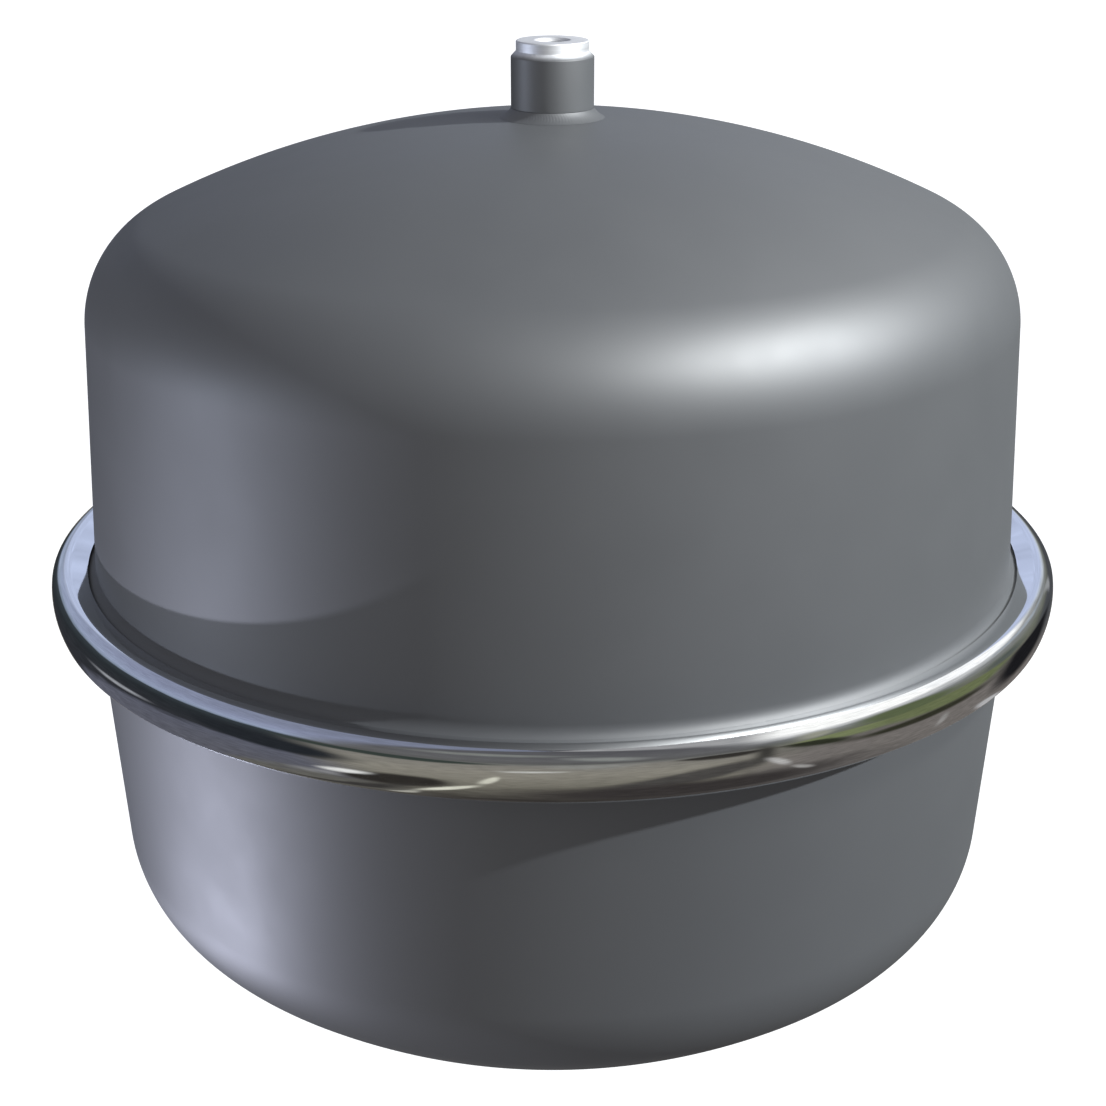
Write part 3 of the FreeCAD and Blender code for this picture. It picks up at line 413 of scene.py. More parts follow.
def soft_light(make, across, depth, height):
    """What matt surfaces receive: a sum of the direction's parts and of their
    products, each times its share. The front is brighter than the sides and
    the left brighter than the right. A second slope behind keeps the tank's
    back from going black."""
    def times(value, other, plus):
        return calculate(make, "MULTIPLY_ADD", value, other, plus)

    light = times(across, SOFT["across"], SOFT["even"])
    light = times(depth, SOFT["depth"], light)
    light = times(height, SOFT["height"], light)
    for first, second, name in ((across, depth, "across depth"), (across, height, "across height"),
                                (depth, height, "depth height"), (across, across, "across across"),
                                (height, height, "height height")):
        light = times(times(first, second, 0.0), SOFT[name], light)
    light = calculate(make, "MAXIMUM", light, times(depth, SOFT_BEHIND, 0.0))
    light = calculate(make, "MAXIMUM", light, 0.0)
    return make("ShaderNodeVectorMath", {0: SOFT_COLOUR, 3: light}, operation="SCALE").outputs["Vector"]


def build_room():
    """The world: one background for each kind of ray."""
    world = bpy.data.worlds.new("room")
    bpy.context.scene.world = world
    world.use_nodes = True
    tree = world.node_tree
    tree.nodes.clear()
    make = node_maker(tree)
    direction = make("ShaderNodeTexCoord").outputs["Generated"]
    parts = make("ShaderNodeSeparateXYZ", {"Vector": direction})
    across, depth, height = (parts.outputs[axis] for axis in "XYZ")
    grey, yard = soft_light(make, across, depth, height), yard_seen(make, direction, height)
    matt, mirror, white = (
        make("ShaderNodeBackground", {"Color": colour, "Strength": 1.0}).outputs[0]
        for colour in (grey, yard, (1, 1, 1, 1))
    )
    path = make("ShaderNodeLightPath")
    others = make("ShaderNodeMixShader", {0: path.outputs["Is Glossy Ray"], 1: matt, 2: mirror}).outputs[0]
    every = make("ShaderNodeMixShader", {0: path.outputs["Is Camera Ray"], 1: others, 2: white}).outputs[0]
    make("ShaderNodeOutputWorld", {"Surface": every})
    return world


bpy.context.scene.view_settings.view_transform = "Standard"
print("room:", build_room().name)

# %% [markdown]
# ## Paint, chrome, steel, brass, rubber and plastic
#
# Each finish is a Principled shader with its constants on its own sockets.
# What varies over the surface comes from noise in Object coordinates, at the
# size that the real finish has: paint has a skin of soft waves a millimetre or
# two across, a plated ring has long shallow waves from being rolled, and turned
# steel has fine grooves round the axis.

# %% Material helpers
def new_material(name, **constants):
    """A material with one Principled shader, and the maker of its nodes."""
    material = bpy.data.materials.new(name)
    material.use_nodes = True
    tree = material.node_tree
    tree.nodes.clear()
    make = node_maker(tree)
    shader = make("ShaderNodeBsdfPrincipled", {k.replace("_", " "): v for k, v in constants.items()})
    make("ShaderNodeOutputMaterial", {"Surface": shader.outputs[0]})
    return material, tree, make, shader


def noise(make, size, detail=2.0, stretch=(1, 1, 1)):
    """Noise in Object coordinates whose patches are about size metres wide."""
    place = make("ShaderNodeTexCoord").outputs["Object"]
    if stretch != (1, 1, 1):
        place = make("ShaderNodeMapping", {"Vector": place, "Scale": stretch}).outputs["Vector"]
    return make("ShaderNodeTexNoise", {"Vector": place, "Scale": 1 / size, "Detail": detail}).outputs["Fac"]


def spread(make, factor, low, high):
    """Maps noise, which stays near a half, onto a range of values."""
    return remap(make, factor, low, high, 0.3, 0.7)


def tint(make, factor, first, second):
    """A colour between two, by a factor of about 0.3 to 0.7."""
    return ramp(make, factor, [(0.3, first), (0.7, second)])


def bump(make, height, depth, before=None):
    """A bump whose highest waves stand depth metres above its lowest."""
    inputs = {"Height": height, "Distance": depth, "Strength": 1.0}
    if before is not None:
        inputs["Normal"] = before
    return make("ShaderNodeBump", inputs).outputs["Normal"]


def connect(tree, source, shader, name):
    """Links a socket to one of the shader's inputs."""
    tree.links.new(source, shader.inputs[name])


# %% [markdown]
# ## The finishes
#
# A tank is sprayed in one go, so the shells and the boss share one paint. The
# connection is masked above its full diameter first, so it has two finishes
# with a ragged line between them. The small parts are seen from further off,
# so one plain recipe does for all of them.

# %% Finishes
PAINT = ((0.160, 0.166, 0.171), (0.170, 0.176, 0.181))
STEEL = ((0.58, 0.58, 0.59), (0.66, 0.66, 0.67))
CHROME = ((0.84, 0.85, 0.86), (0.88, 0.89, 0.895))
PAINT_WAVE = 0.0016 * MM


def shell_paint():
    """Satin grey paint baked on drawn steel, with a faint orange peel."""
    material, tree, make, shader = new_material("shell_paint", IOR=1.5)
    connect(tree, tint(make, noise(make, 60 * MM, 3), *PAINT), shader, "Base Color")
    connect(tree, spread(make, noise(make, 25 * MM, 4), 0.54, 0.58), shader, "Roughness")
    connect(tree, bump(make, noise(make, 1.6 * MM, 1.0), PAINT_WAVE), shader, "Normal")
    return material


def half_painted_steel():
    """Turned steel that is masked above the full diameter when the tank is
    sprayed. Above the line it is bare, with fine grooves and a sheen that
    varies from groove to groove, and below it has the shells' paint."""
    material, tree, make, shader = new_material("half_painted_steel", IOR=1.5)
    place = make("ShaderNodeTexCoord").outputs["Object"]
    height = make("ShaderNodeSeparateXYZ", {"Vector": place}).outputs["Z"]
    ragged = calculate(make, "MULTIPLY_ADD", noise(make, 2.5 * MM, 3), 0.25 * MM, height)
    bare = between(make, ragged, 0.0, 1.7 * MM)
    grooves = noise(make, 1.2 * MM, 3, (0.05, 0.05, 6.0))
    rings = make("ShaderNodeTexWave", {"Vector": place, "Scale": 1400.0, "Distortion": 0.6, "Detail": 2.0},
                 wave_type="RINGS", rings_direction="Z").outputs["Fac"]
    paint = tint(make, noise(make, 60 * MM, 3), *PAINT)
    connect(tree, mix(make, bare, paint, tint(make, grooves, *STEEL)), shader, "Base Color")
    connect(tree, remap(make, bare, 0.0, 0.5), shader, "Metallic")
    sheen = remap(make, bare, 0.56, 0.58)
    uneven = calculate(make, "MULTIPLY_ADD", spread(make, grooves, -0.05, 0.05), bare, sheen)
    connect(tree, uneven, shader, "Roughness")
    lathe = calculate(make, "MULTIPLY", calculate(make, "ADD", rings, grooves), bare)
    skin = bump(make, noise(make, 1.6 * MM, 1.0), PAINT_WAVE)
    connect(tree, bump(make, lathe, 0.006 * MM, skin), shader, "Normal")
    return material


def bright_chrome():
    """Nickel and chrome over a rolled steel strip. The rollers leave waves
    that are long round the ring and short across it."""
    material, tree, make, shader = new_material("bright_chrome", Metallic=1.0)
    connect(tree, tint(make, noise(make, 30 * MM, 3), *CHROME), shader, "Base Color")
    connect(tree, spread(make, noise(make, 8 * MM, 4), 0.035, 0.075), shader, "Roughness")
    connect(tree, bump(make, noise(make, 22 * MM, 1.0, (1, 1, 1.6)), 0.10 * MM), shader, "Normal")
    return material


def plain_finish(name, first, second, rough, metallic=0.0):
    """A finish with a slight change of colour, sheen and height, over patches
    that are smaller in this order."""
    patch, depth = 3 * MM, 0.002 * MM
    material, tree, make, shader = new_material(name, Metallic=metallic)
    connect(tree, tint(make, noise(make, patch, 3), first, second), shader, "Base Color")
    connect(tree, spread(make, noise(make, patch / 3, 4), *rough), shader, "Roughness")
    connect(tree, bump(make, noise(make, patch / 6, 2), depth), shader, "Normal")
    return material


FINISHES = {
    "shell_paint": shell_paint(),
    "bright_chrome": bright_chrome(),
    "rubber": plain_finish("rubber", (0.014, 0.014, 0.015), (0.022, 0.022, 0.023), (0.6, 0.75)),
    "brass": plain_finish("brass", (0.78, 0.58, 0.28), (0.83, 0.63, 0.32), (0.2, 0.3), 1.0),
    "spring_steel": plain_finish("spring_steel", (0.45, 0.45, 0.46), (0.55, 0.55, 0.56), (0.25, 0.35), 1.0),
    "cap_plastic": plain_finish("cap_plastic", (0.016, 0.016, 0.017), (0.022, 0.022, 0.023), (0.38, 0.48)),
}
STEEL_AND_PAINT = half_painted_steel()
for part in frame["record"]["subparts"]:
    mesh = frame["nodes"][part["node"]].data
    mesh.materials.clear()
    mesh.materials.append(FINISHES[part["material_slot"]])
print("finishes:", sorted(FINISHES), STEEL_AND_PAINT.name)

# %% [markdown]
# ## Surfaces from a profile
#
# Almost everything here was drawn, rolled or turned, so its surface is one
# profile carried round the axis. A profile is a list of (radius, height)
# pairs in millimetres. It is put together from lines and arcs, as the press
# tool or the lathe makes it, and then every point is turned round the axis in
# one array operation. A solid made in a coarse mesh would show its facets in
# the mirror finish. This way has as many points as the finish needs.

# %% Profile helpers
def arc(centre, radius, first, last, steps=16):
    """Points on a circle: the centre plus the radius times the cosine and the
    sine of angles that run evenly from first to last, in degrees."""
    angle = np.radians(np.linspace(first, last, steps + 1))
    return np.array(centre) + radius * np.column_stack([np.cos(angle), np.sin(angle)])


def line(start, end, steps=1):
    """Evenly spaced points from start to end."""
    share = np.linspace(0, 1, steps + 1)[:, None]
    return np.array(start) * (1 - share) + np.array(end) * share


def join(*parts):
    """One profile from several, without the points that they share."""
    points = np.concatenate(parts)
    step = np.linalg.norm(np.diff(points, axis=0), axis=1)
    return points[np.concatenate([[True], step > 1e-6])]


def offset(profile, distance):
    """The profile moved to the right of its own direction. Each point moves
    along the normal of the chord between its two neighbours."""
    chord = np.gradient(profile, axis=0)
    chord /= np.linalg.norm(chord, axis=1)[:, None]
    return profile + distance * np.column_stack([chord[:, 1], -chord[:, 0]])


def sheet_wall(profile, thickness, edge=0.3):
    """The closed outline of a sheet whose face is the profile. The far face is
    the profile offset by the thickness. The corners of both cut edges are
    rounded over the edge size."""
    far = offset(profile, thickness)[::-1]
    return soften(np.concatenate([profile, far]), edge)


def soften(outline, size, least=40.0):
    """Rounds the sharp corners of a closed outline. A corner that turns more
    than least degrees is replaced by a quadratic curve that leaves one side
    and reaches the other at the given size from the corner."""
    before = np.roll(outline, 1, axis=0) - outline
    after = np.roll(outline, -1, axis=0) - outline
    reach_before = np.linalg.norm(before, axis=1)
    reach_after = np.linalg.norm(after, axis=1)
    cosine = -(before * after).sum(1) / (reach_before * reach_after)
    turn = np.degrees(np.arccos(np.clip(cosine, -1, 1)))
    share = np.linspace(0, 1, 7)[:, None]
    parts = []
    for place, corner in enumerate(outline):
        if turn[place] < least:
            parts.append(corner[None])
            continue
        start = corner + before[place] / reach_before[place] * min(size, reach_before[place] * 0.45)
        end = corner + after[place] / reach_after[place] * min(size, reach_after[place] * 0.45)
        parts.append(start * (1 - share) ** 2 + corner * 2 * share * (1 - share) + end * share ** 2)
    return np.concatenate(parts)


# %% [markdown]
# ## From a grid of points to a piece
#
# A turned piece is a grid: one row of points for each step round the axis.
# The faces could be made one by one, but whole arrays of corner numbers are
# quicker and shorter. The same helper puts the piece on its body, hides the
# solid that it replaces and gives it its material.

# %% Surface helpers
def put_surface(name, points, material, body, node, seam_angle=32, closed_rows=True):
    """A closed mesh from a grid of points, with rows round the axis and
    columns along a closed outline. Each face joins four neighbours. The last
    row joins the first, unless the rows run along a wire."""
    turns, steps = points.shape[:2]
    here = np.arange(turns * steps).reshape(turns, steps)
    right = np.roll(here, -1, axis=1)
    faces = np.stack([here, np.roll(here, -1, axis=0), np.roll(right, -1, axis=0), right], axis=-1)
    faces = (faces if closed_rows else faces[:-1]).reshape(-1, 4)
    mesh = bpy.data.meshes.new(name)
    mesh.vertices.add(turns * steps)
    mesh.vertices.foreach_set("co", (points * MM).astype(np.float32).ravel())
    mesh.loops.add(faces.size)
    mesh.loops.foreach_set("vertex_index", faces.astype(np.int32).ravel())
    mesh.polygons.add(len(faces))
    mesh.polygons.foreach_set("loop_start", np.arange(0, faces.size, 4, dtype=np.int32))
    mesh.update(calc_edges=True)
    mesh.validate()
    mesh.shade_smooth()
    mesh.set_sharp_from_angle(angle=math.radians(seam_angle))
    mesh.materials.append(material)
    piece = bpy.data.objects.new(name, mesh)
    bpy.context.scene.collection.objects.link(piece)
    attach(piece, body)
    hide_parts(node)
    print(name, "faces:", len(faces))
    return piece


def spin(outline, turns):
    """Carries a closed outline round the axis: x and y are the radius times
    the cosine and the sine of the turn, and the height stays."""
    angle = np.linspace(0, 2 * np.pi, turns, endpoint=False)[:, None]
    radius = outline[None, :, 0]
    height = np.broadcast_to(outline[None, :, 1], (turns, len(outline)))
    return np.stack([radius * np.cos(angle), radius * np.sin(angle), height], axis=-1)


# %% [markdown]
# ## The two drawn shells
#
# A press draws each shell from a round blank. The crown is shallow, the
# shoulder turns into the wall with a smaller radius, the wall has a little
# draft so that it leaves the tool, and a tight fillet runs out into the rim.
# Every arc touches the next without a kink, because sheet can't have one. So
# the shoulder's centre isn't given: it slides up beside the wall until its
# circle touches the crown's.

# %% Shell profiles
JOINT_PLANE = -166.9
SHELL_WALL = 1.25
SEAT_GAP = 0.05
RIM_FILLET = 5.5
RIM_SLOPE = 26
CHANNEL_RADIUS = 166.0
CHANNEL_ROUND = 5.2
CHANNEL_FLOOR = 8.95
UPPER_RIM_EDGE = CHANNEL_RADIUS - 0.9
UPPER_CROWN = 302.5
UPPER_DRAFT = 2.2
UPPER_FOOT = (153.7, 8.5)
LOWER_CROWN = 208.0
LOWER_DRAFT = 3.7


def head_profile(crown, knuckle, height, draft, foot, rim_slope, rim_edge, hole):
    """Crown, shoulder, wall, fillet and rim of one shell, from its hole out.
    Heights are counted from the joint plane towards the crown."""
    normal = np.array([math.cos(math.radians(draft)), math.sin(math.radians(draft))])
    upward = np.array([-normal[1], normal[0]])
    crown_centre = np.array([0.0, height - crown])
    start = foot - normal * knuckle - crown_centre
    along = start @ upward
    rise = math.sqrt((crown - knuckle) ** 2 - start @ start + along ** 2) - along
    knuckle_centre = foot - normal * knuckle + upward * rise
    lean = knuckle_centre - crown_centre
    meet = math.degrees(math.atan2(lean[1], lean[0]))
    first = math.degrees(math.acos(hole / crown))
    fillet_centre = foot + normal * RIM_FILLET
    rim_start = arc(fillet_centre, RIM_FILLET, 270 - rim_slope, 270 - rim_slope, 1)[0]
    fall = math.tan(math.radians(rim_slope)) * (rim_edge - rim_start[0])
    return join(
        arc(crown_centre, crown, first, meet, 56),
        arc(knuckle_centre, knuckle, meet, draft, 40),
        line(knuckle_centre + normal * knuckle, foot, 20),
        arc(fillet_centre, RIM_FILLET, 180 + draft, 270 - rim_slope, 12),
        line(rim_start, rim_start + np.array([rim_edge - rim_start[0], -fall]), 4),
    )


def lower_foot():
    """Foot of the lower wall: its fillet ends in a level rim, a step inside
    the round of the bead channel."""
    draft = math.radians(LOWER_DRAFT)
    rim_flat = 1.0
    radius = CHANNEL_RADIUS - CHANNEL_ROUND - rim_flat - RIM_FILLET * math.cos(draft)
    return np.array([radius, CHANNEL_FLOOR + RIM_FILLET * (1 - math.sin(draft))])


def rim_height(radius):
    """Height of the upper rim's top face above the joint plane: it falls by
    the tangent of its slope from where its fillet ends."""
    draft, slope = math.radians(UPPER_DRAFT), math.radians(RIM_SLOPE)
    start = UPPER_FOOT[0] + RIM_FILLET * (math.cos(draft) - math.sin(slope))
    height = UPPER_FOOT[1] + RIM_FILLET * (math.sin(draft) - math.cos(slope))
    return height - (radius - start) * math.tan(slope)


# %% [markdown]
# ## Both shells from one recipe
#
# The two shells differ in their numbers and in what their rims do. The upper
# rim just falls outwards. The lower one goes on round the diaphragm's bead
# and stops under the upper rim.

# %% Upper and lower shell
def upper_shell():
    """The water side, with a plain rim that falls outwards."""
    face = head_profile(UPPER_CROWN, knuckle=35.5, height=148.3, draft=UPPER_DRAFT, foot=np.array(UPPER_FOOT),
                        rim_slope=RIM_SLOPE, rim_edge=UPPER_RIM_EDGE, hole=11.1)
    points = spin(sheet_wall(face, SHELL_WALL) + [0, JOINT_PLANE], turns=320)
    return put_surface("upper_shell_painted", points, FINISHES["shell_paint"], "tank", "upper_shell")


def lower_shell():
    """The gas side, upside down, with its rim rolled up round the bead."""
    start = CHANNEL_RADIUS - CHANNEL_ROUND
    lip = (SHELL_WALL + SEAT_GAP) / math.cos(math.radians(RIM_SLOPE)) - rim_height(UPPER_RIM_EDGE)
    face = head_profile(LOWER_CROWN, knuckle=38.6, height=166.1, draft=LOWER_DRAFT, foot=lower_foot(),
                        rim_slope=0, rim_edge=start, hole=10.1)
    bend = arc((start, CHANNEL_FLOOR - CHANNEL_ROUND), CHANNEL_ROUND, 90, 0, 20)
    side = line(bend[-1], (CHANNEL_RADIUS, lip), 4)
    outline = sheet_wall(join(face, bend, side), SHELL_WALL) * [1, -1] + [0, JOINT_PLANE]
    points = spin(outline[::-1], turns=288)
    return put_surface("lower_shell_painted", points, FINISHES["shell_paint"], "tank", "lower_shell")


for make_shell in (upper_shell, lower_shell):
    make_shell()

# %% [markdown]
# ## The clamp ring
#
# The ring starts as a flat strip. Rollers bend it round both rims, so its
# section is a hook: a lip that slopes down onto the upper rim, a round crest,
# a bowed flank, and a foot that turns in under the bead channel. The crest
# touches the flank's circle from inside, and so does the foot.

# %% Clamp ring
RING_SHEET = 1.5


def ring_profile():
    """Lip, crest, flank and foot as one smooth line, from the inner edge of
    the lip round the outside to the inner edge of the foot."""
    radius, lip_width, foot_width, depth = 168.3, 11.5, 7.6, 10.5
    crest, flank, foot, slope, drop = 4.9, 20.5, 4.7, 18.0, 0.1
    lip_radius = radius - lip_width
    tilt = math.radians(slope)
    seat = rim_height(lip_radius) + SEAT_GAP
    corner = np.array([lip_radius - RING_SHEET * math.sin(tilt), seat + RING_SHEET * math.cos(tilt)])
    flank_centre = np.array([radius - flank, -drop])
    along = np.array([math.cos(tilt), math.sin(tilt)])
    inward = np.array([along[1], -along[0]]) * crest
    start = corner + inward - flank_centre
    run = start @ along
    reach = math.sqrt((flank - crest) ** 2 - start @ start + run ** 2) - run
    crest_centre = flank_centre + start + along * reach
    upper_meet = math.degrees(math.atan2(*(crest_centre - flank_centre)[::-1]))
    foot_fall = -depth + foot - flank_centre[1]
    foot_centre = flank_centre + [math.sqrt((flank - foot) ** 2 - foot_fall ** 2), foot_fall]
    lower_meet = math.degrees(math.atan2(*(foot_centre - flank_centre)[::-1]))
    return join(
        line(corner, crest_centre - inward, 10),
        arc(crest_centre, crest, 90 + slope, upper_meet, 20),
        arc(flank_centre, flank, upper_meet, lower_meet, 30),
        arc(foot_centre, foot, lower_meet, -90, 20),
        line((foot_centre[0], -depth), (radius - foot_width, -depth), 6),
    )


def clamp_ring():
    """The rolled strip, with its cut edges broken."""
    points = spin(sheet_wall(ring_profile(), RING_SHEET, edge=0.07) + [0, JOINT_PLANE], turns=496)
    return put_surface("clamp_ring_plated", points, FINISHES["bright_chrome"], "tank", "clamp_ring")


ring = clamp_ring()

# %% [markdown]
# ## Turned and welded pieces
#
# The connection and the boss come from the lathe, so their corners are broken
# by a file and no more. The beads round them are welded: the pool freezes in
# scales, a little under a millimetre apart, and each scale is a crescent,
# because the middle of the pool sets last. Paint fills them half.

# %% Connection and boss
def turned_piece(name, corners, edge, turns, material, node, lift=0.0):
    """A ring from the corners of its closed section, each broken by edge."""
    outline = soften(np.array(corners, dtype=float), edge) + [0, lift]
    return put_surface(name, spin(outline, turns), material, "tank", node)


CROWN_TOP = -18.6
VALVE_LEVEL = -333.0
turned_piece("connection_nipple_turned", [
    (5.8, 5.0), (11.27, 5.0), (11.57, 4.7), (11.57, 1.75), (13.22, 0), (13.22, -15.9), (12.82, -15.9),
    (12.82, -18.75), (11.0, -18.75), (11.0, -19.85), (5.8, -19.85), (5.0, -19.05), (5.0, 4.2),
], edge=0.18, turns=160, material=STEEL_AND_PAINT, node="connection_nipple")
turned_piece("valve_boss_turned", [
    (5.05, 7.0), (9.2, 7.0), (10.0, 6.2), (10.0, -2.5), (9.5, -3.0), (7.05, -3.0), (7.05, -1.75),
    (5.05, -1.75),
], edge=0.2, turns=120, material=FINISHES["shell_paint"], node="valve_boss", lift=VALVE_LEVEL)

# %% [markdown]
# ## Two weld beads
#
# The bead at the connection is hollow, the one at the boss is straight. Both
# start as a smooth ring of the right section. The scales could be a bump in
# the material, but they break the bead's outline, so they are real.

# %% Weld beads
def weld_scales(points, face, count, depth):
    """Moves the face of a bead along its own normals, by a wave round the
    axis. The wave is bent back towards the bead's edges, which makes the
    crescents, and fades out at both edges."""
    turns, steps = points.shape[:2]
    angle = np.linspace(0, 2 * np.pi, turns, endpoint=False)[:, None]
    across = np.zeros(steps)
    across[face] = np.linspace(-1, 1, len(face))
    inside = np.zeros(steps)
    inside[face] = 1 - np.linspace(-1, 1, len(face)) ** 4
    wander = 0.35 * np.sin(3 * angle + 1.0) + 0.25 * np.sin(7 * angle)
    wave = np.cos(count * (angle + 0.06 * across ** 2) + wander) * inside
    along = np.gradient(points, axis=1)
    around = np.roll(points, -1, axis=0) - np.roll(points, 1, axis=0)
    normal = np.cross(around, along)
    normal /= np.maximum(np.linalg.norm(normal, axis=2), 1e-9)[:, :, None]
    return points + depth * (wave - inside)[:, :, None] * normal


def nipple_weld():
    """Hollow bead from the connection down to the shell's crown."""
    def crown(radius):
        return CROWN_TOP + SEAT_GAP - UPPER_CROWN + math.sqrt(UPPER_CROWN ** 2 - radius ** 2)

    top, foot = np.array([13.22, -15.95]), np.array([16.7, crown(16.7)])
    middle, chord, hollow = (top + foot) / 2, foot - top, 7.0
    half = np.linalg.norm(chord) / 2
    across = np.array([-chord[1], chord[0]]) / (2 * half)
    centre = middle + across * math.sqrt(hollow ** 2 - half ** 2)
    first, last = (math.degrees(math.atan2(*(end - centre)[::-1])) for end in (top, foot))
    face = arc(centre, hollow, first, last, 14)
    outline = np.concatenate([face, [(12.87, crown(12.87)), (12.87, -15.95)]])
    points = weld_scales(spin(outline, turns=480), range(15), count=96, depth=0.025)
    return put_surface("nipple_weld_bead", points, FINISHES["shell_paint"], "tank", "nipple_weld")


def valve_boss_weld():
    """Straight bead from the boss to the lower shell's crown."""
    def crown(radius):
        return VALVE_LEVEL - SEAT_GAP + LOWER_CROWN - math.sqrt(LOWER_CROWN ** 2 - radius ** 2)

    foot, root = (12.45, crown(12.45)), (10.05, crown(10.05) - 2.35)
    outline = np.concatenate([[(10.05, crown(10.05))], line(foot, root, 12)])
    points = weld_scales(spin(outline, turns=360), range(1, 14), count=72, depth=0.07)
    return put_surface("valve_boss_weld_bead", points, FINISHES["shell_paint"], "tank", "valve_boss_weld")


for make_bead in (nipple_weld, valve_boss_weld):
    make_bead()

# %% [markdown]
# ## The charging valve
#
# The valve is turned from a hexagon bar. Turning the bar's end at an angle
# cuts its corners off, which leaves an arc on each face of the hexagon. The
# thread is a helix: its height on the cylinder is the pitch times the turn.
# It could be a picture on a cylinder, but the thread's outline shows against
# the light when the cap is off.

# %% Charging valve
def hexagon_radius(angle, flats, round_off):
    """Distance from the axis to a hexagon with the given width across flats,
    no further than the circle that its corners are turned down to."""
    nearest = (angle + np.pi / 6) % (np.pi / 3) - np.pi / 6
    return np.minimum(flats / 2 / np.cos(nearest), round_off)


def valve_body():
    """Tail, hexagon, thread and bore in one surface. Rows that belong to the
    hexagon take its radius, and rows that belong to the thread are moved in by
    a rounded groove whose phase is the turn less the height over the pitch."""
    turns, pitch, depth = 240, 0.79, 0.42
    face, end = -339.4, -349.5
    angle = np.linspace(0, 2 * np.pi, turns, endpoint=False)
    thread = line((3.85, face), (3.85, end), 128)
    parts = [
        ([(2.1, -327.0), (4.5, -327.0), (5.0, -327.5), (5.0, -336.05)], "round"),
        ([(6.2, -336.05), (7.0, -336.05), (8.083, -336.55), (8.083, -338.9), (7.0, face), (6.2, face)],
         "hexagon"),
        ([(3.85, face)], "round"),
        (thread[1:-1], "thread"),
        ([(3.85, end), (3.35, -350.0), (2.65, -350.0), (2.65, -343.0), (2.1, -342.05)], "round"),
    ]
    outline = np.concatenate([np.array(rows, dtype=float) for rows, _ in parts])
    kinds = np.concatenate([[kind] * len(rows) for rows, kind in parts])
    points = spin(outline, turns)
    for step in np.flatnonzero(kinds == "hexagon"):
        radius = hexagon_radius(angle, flats=14.0, round_off=outline[step, 0])
        points[:, step, 0], points[:, step, 1] = radius * np.cos(angle), radius * np.sin(angle)
    phase = angle[:, None] / (2 * np.pi) - outline[None, :, 1] / pitch
    groove = np.clip(0.5 - 0.62 * np.cos(2 * np.pi * phase), 0, 1)
    run_out = np.clip(np.minimum(face - outline[:, 1], outline[:, 1] - end + 0.2) / 0.5, 0, 1)
    radius = outline[None, :, 0] - depth * groove * run_out * (kinds == "thread")
    for step in np.flatnonzero(kinds == "thread"):
        points[:, step, 0] = radius[:, step] * np.cos(angle)
        points[:, step, 1] = radius[:, step] * np.sin(angle)
    return put_surface("valve_body_turned", points, FINISHES["brass"], "tank", "valve_body", seam_angle=28)


# %% [markdown]
# ## The dust cap
#
# The cap is moulded in black plastic, with flutes round it for the fingers.
# The flutes could be cut by booleans, but the wall's radius as a function of
# the angle gives cleaner faces. The middle of its end has to be closed, so
# the innermost points become one.

# %% Dust cap
def valve_cap():
    """The cap with its flutes. Where a flute's circle cuts the wall, the
    radius is the near side of that circle: with the angle from the flute's
    middle it is the wall's radius times the cosine, less the root of the
    flute's radius squared minus the wall's radius times the sine squared."""
    radius, flute, flutes, per_flute = 5.4, 0.55, 14, 20
    angle = np.linspace(0, 2 * np.pi, flutes * per_flute, endpoint=False)
    nearest = (angle + np.pi / flutes) % (2 * np.pi / flutes) - np.pi / flutes
    inside = np.maximum(flute ** 2 - (radius * np.sin(nearest)) ** 2, 0)
    cut = np.minimum(radius, radius * np.cos(nearest) - np.sqrt(inside))
    outline = soften(np.array([
        (3.93, -350.7), (3.93, -342.1), (5.4, -342.1), (5.4, -351.7), (4.8, -352.3), (0.02, -352.3),
        (0.02, -350.7),
    ]), 0.25)[::-1]
    points = spin(outline, len(angle))
    wall = outline[:, 0] > 4.5
    for step in np.flatnonzero(wall):
        row = np.minimum(outline[step, 0], cut)
        points[:, step, 0], points[:, step, 1] = row * np.cos(angle), row * np.sin(angle)
    return put_surface("valve_cap_moulded", points, FINISHES["cap_plastic"], "cap", "valve_cap")


def join_points(piece, reach, outermost):
    """Makes one point of those that are within reach of each other and nearer
    to the axis than outermost. That closes a face's middle or a wire's end."""
    mesh = bmesh.new()
    mesh.from_mesh(piece.data)
    chosen = [point for point in mesh.verts if point.co.xy.length < outermost]
    bmesh.ops.remove_doubles(mesh, verts=chosen, dist=reach)
    mesh.to_mesh(piece.data)
    mesh.free()


valve_body()
join_points(valve_cap(), reach=0.1 * MM, outermost=0.03 * MM)
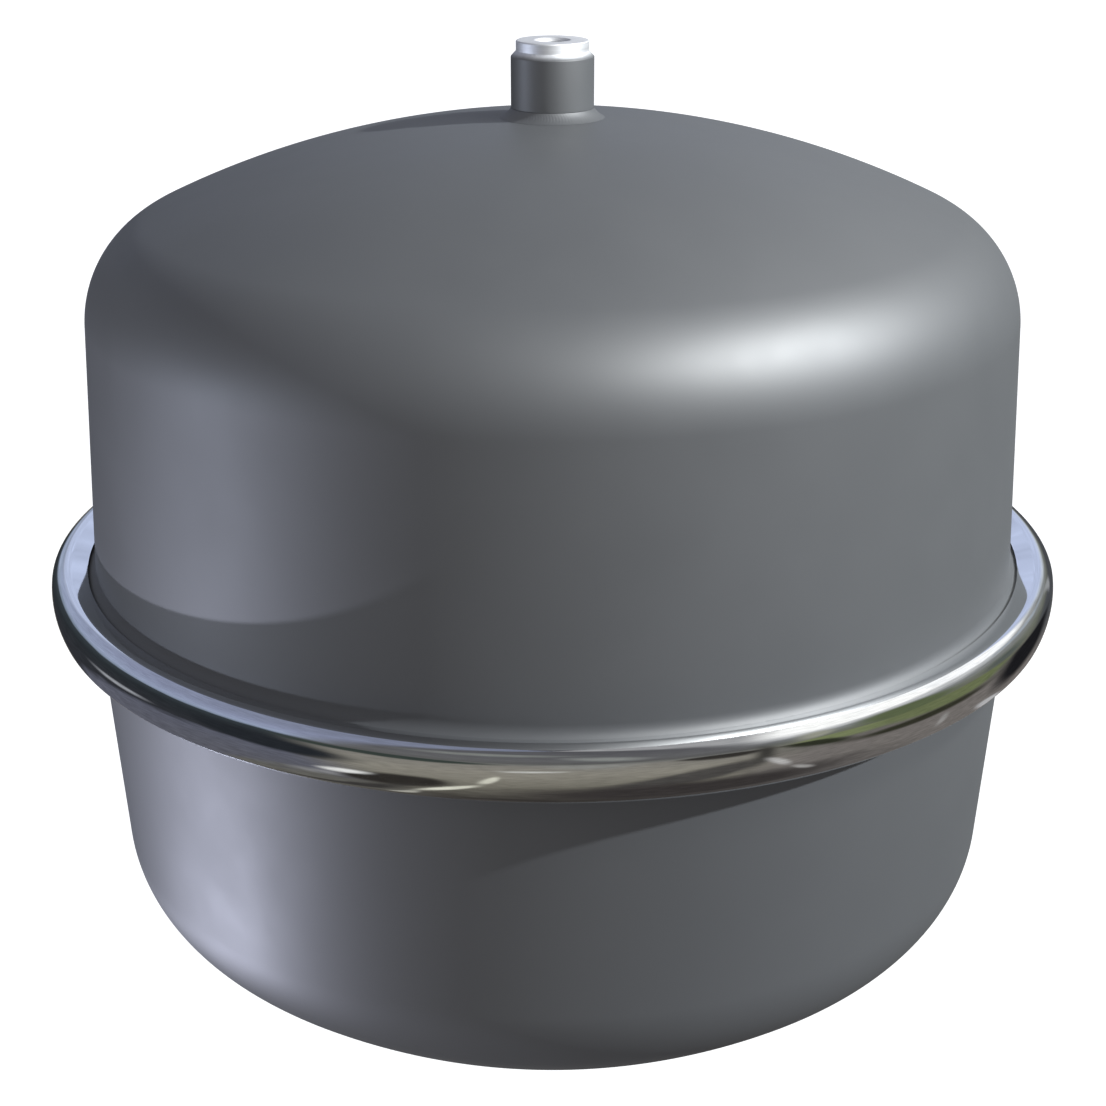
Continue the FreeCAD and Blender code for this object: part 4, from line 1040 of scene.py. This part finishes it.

# %% [markdown]
# ## The spring of the valve core
#
# A pin is pressed to let gas in, and this spring brings it back. It is music
# wire wound on a mandrel, and it stands against the wall at its inner end.


def core_spring():
    """Wire on a helix. The wire's section is a circle in the plane of two
    directions: away from the axis, and square to both that and the wire. The
    first and last rows shrink to a point, so that the ends are closed."""
    wire, coil, turns, start, end = 0.12, 0.85, 6.0, -338.57, -343.73
    rows, sides = 360, 12
    along = np.linspace(0, 1, rows)
    turn = 2 * np.pi * turns * along
    zero = np.zeros(rows)
    centre = np.stack([coil * np.cos(turn), coil * np.sin(turn), start + (end - start) * along], axis=-1)
    away = np.stack([np.cos(turn), np.sin(turn), zero], axis=-1)
    rise = (end - start) / (2 * np.pi * turns)
    forward = np.stack([-coil * np.sin(turn), coil * np.cos(turn), zero + rise], axis=-1)
    forward /= np.linalg.norm(forward, axis=1)[:, None]
    square = np.cross(forward, away)
    side = np.linspace(0, 2 * np.pi, sides, endpoint=False)[None, :, None]
    tube = centre[:, None] + wire * (np.cos(side) * away[:, None] + np.sin(side) * square[:, None])
    first, last = (np.repeat(centre[[row], None], sides, axis=1) for row in (0, -1))
    points = np.concatenate([first, tube, last])
    return put_surface("core_spring_wound", points, FINISHES["spring_steel"], "tank", "core_spring",
                       closed_rows=False)


spring = core_spring()
join_points(spring, reach=0.001 * MM, outermost=1 * MM)
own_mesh(spring)

# %% [markdown]
# ## The floor
#
# The tank hangs from its connection, so the floor is well below it. It is
# plain and pale, and only the camera sees it, and only from above.

# %% Floor
FLOOR_DROP = 0.3
FLOOR_REACH = 30.0


def add_floor():
    """A pale square, far wider than any view of the tank."""
    level = CAD_BOX[0][2] - FLOOR_DROP
    corners = np.array([[-1, -1], [1, -1], [1, 1], [-1, 1]]) * FLOOR_REACH
    mesh = bpy.data.meshes.new("floor")
    mesh.from_pydata([(x, y, level) for x, y in corners.tolist()], [], [(0, 1, 2, 3)])
    floor = bpy.data.objects.new("floor", mesh)
    material, tree, make, shader = new_material("pale_floor", Roughness=0.9, Emission_Strength=0.85)
    shader.inputs["Base Color"].default_value = (0.5, 0.5, 0.5, 1)
    shader.inputs["Emission Color"].default_value = (1, 1, 1, 1)
    clear = make("ShaderNodeBsdfTransparent").outputs["BSDF"]
    below = make("ShaderNodeNewGeometry").outputs["Backfacing"]
    one_sided = make("ShaderNodeMixShader", {0: below, 1: shader.outputs["BSDF"], 2: clear}).outputs["Shader"]
    output = next(node for node in tree.nodes if node.type == "OUTPUT_MATERIAL")
    tree.links.new(one_sided, output.inputs["Surface"])
    mesh.materials.append(material)
    floor.visible_diffuse = False
    floor.visible_glossy = False
    floor.visible_shadow = False
    bpy.context.scene.collection.objects.link(floor)
    return floor


print("floor:", add_floor().name)

# %% [markdown]
# ## Lights that leave the mirror alone
#
# A plated ring would show each light as a hard white shape. The yard is what
# it should show, so the ring is taken out of the lights' reach.

# %% Light linking
not_lit = bpy.data.collections.new("not_lit")
not_lit.objects.link(ring)
for member in not_lit.collection_objects:
    member.light_linking.link_state = "EXCLUDE"
for light in LAMPS:
    light.light_linking.receiver_collection = not_lit
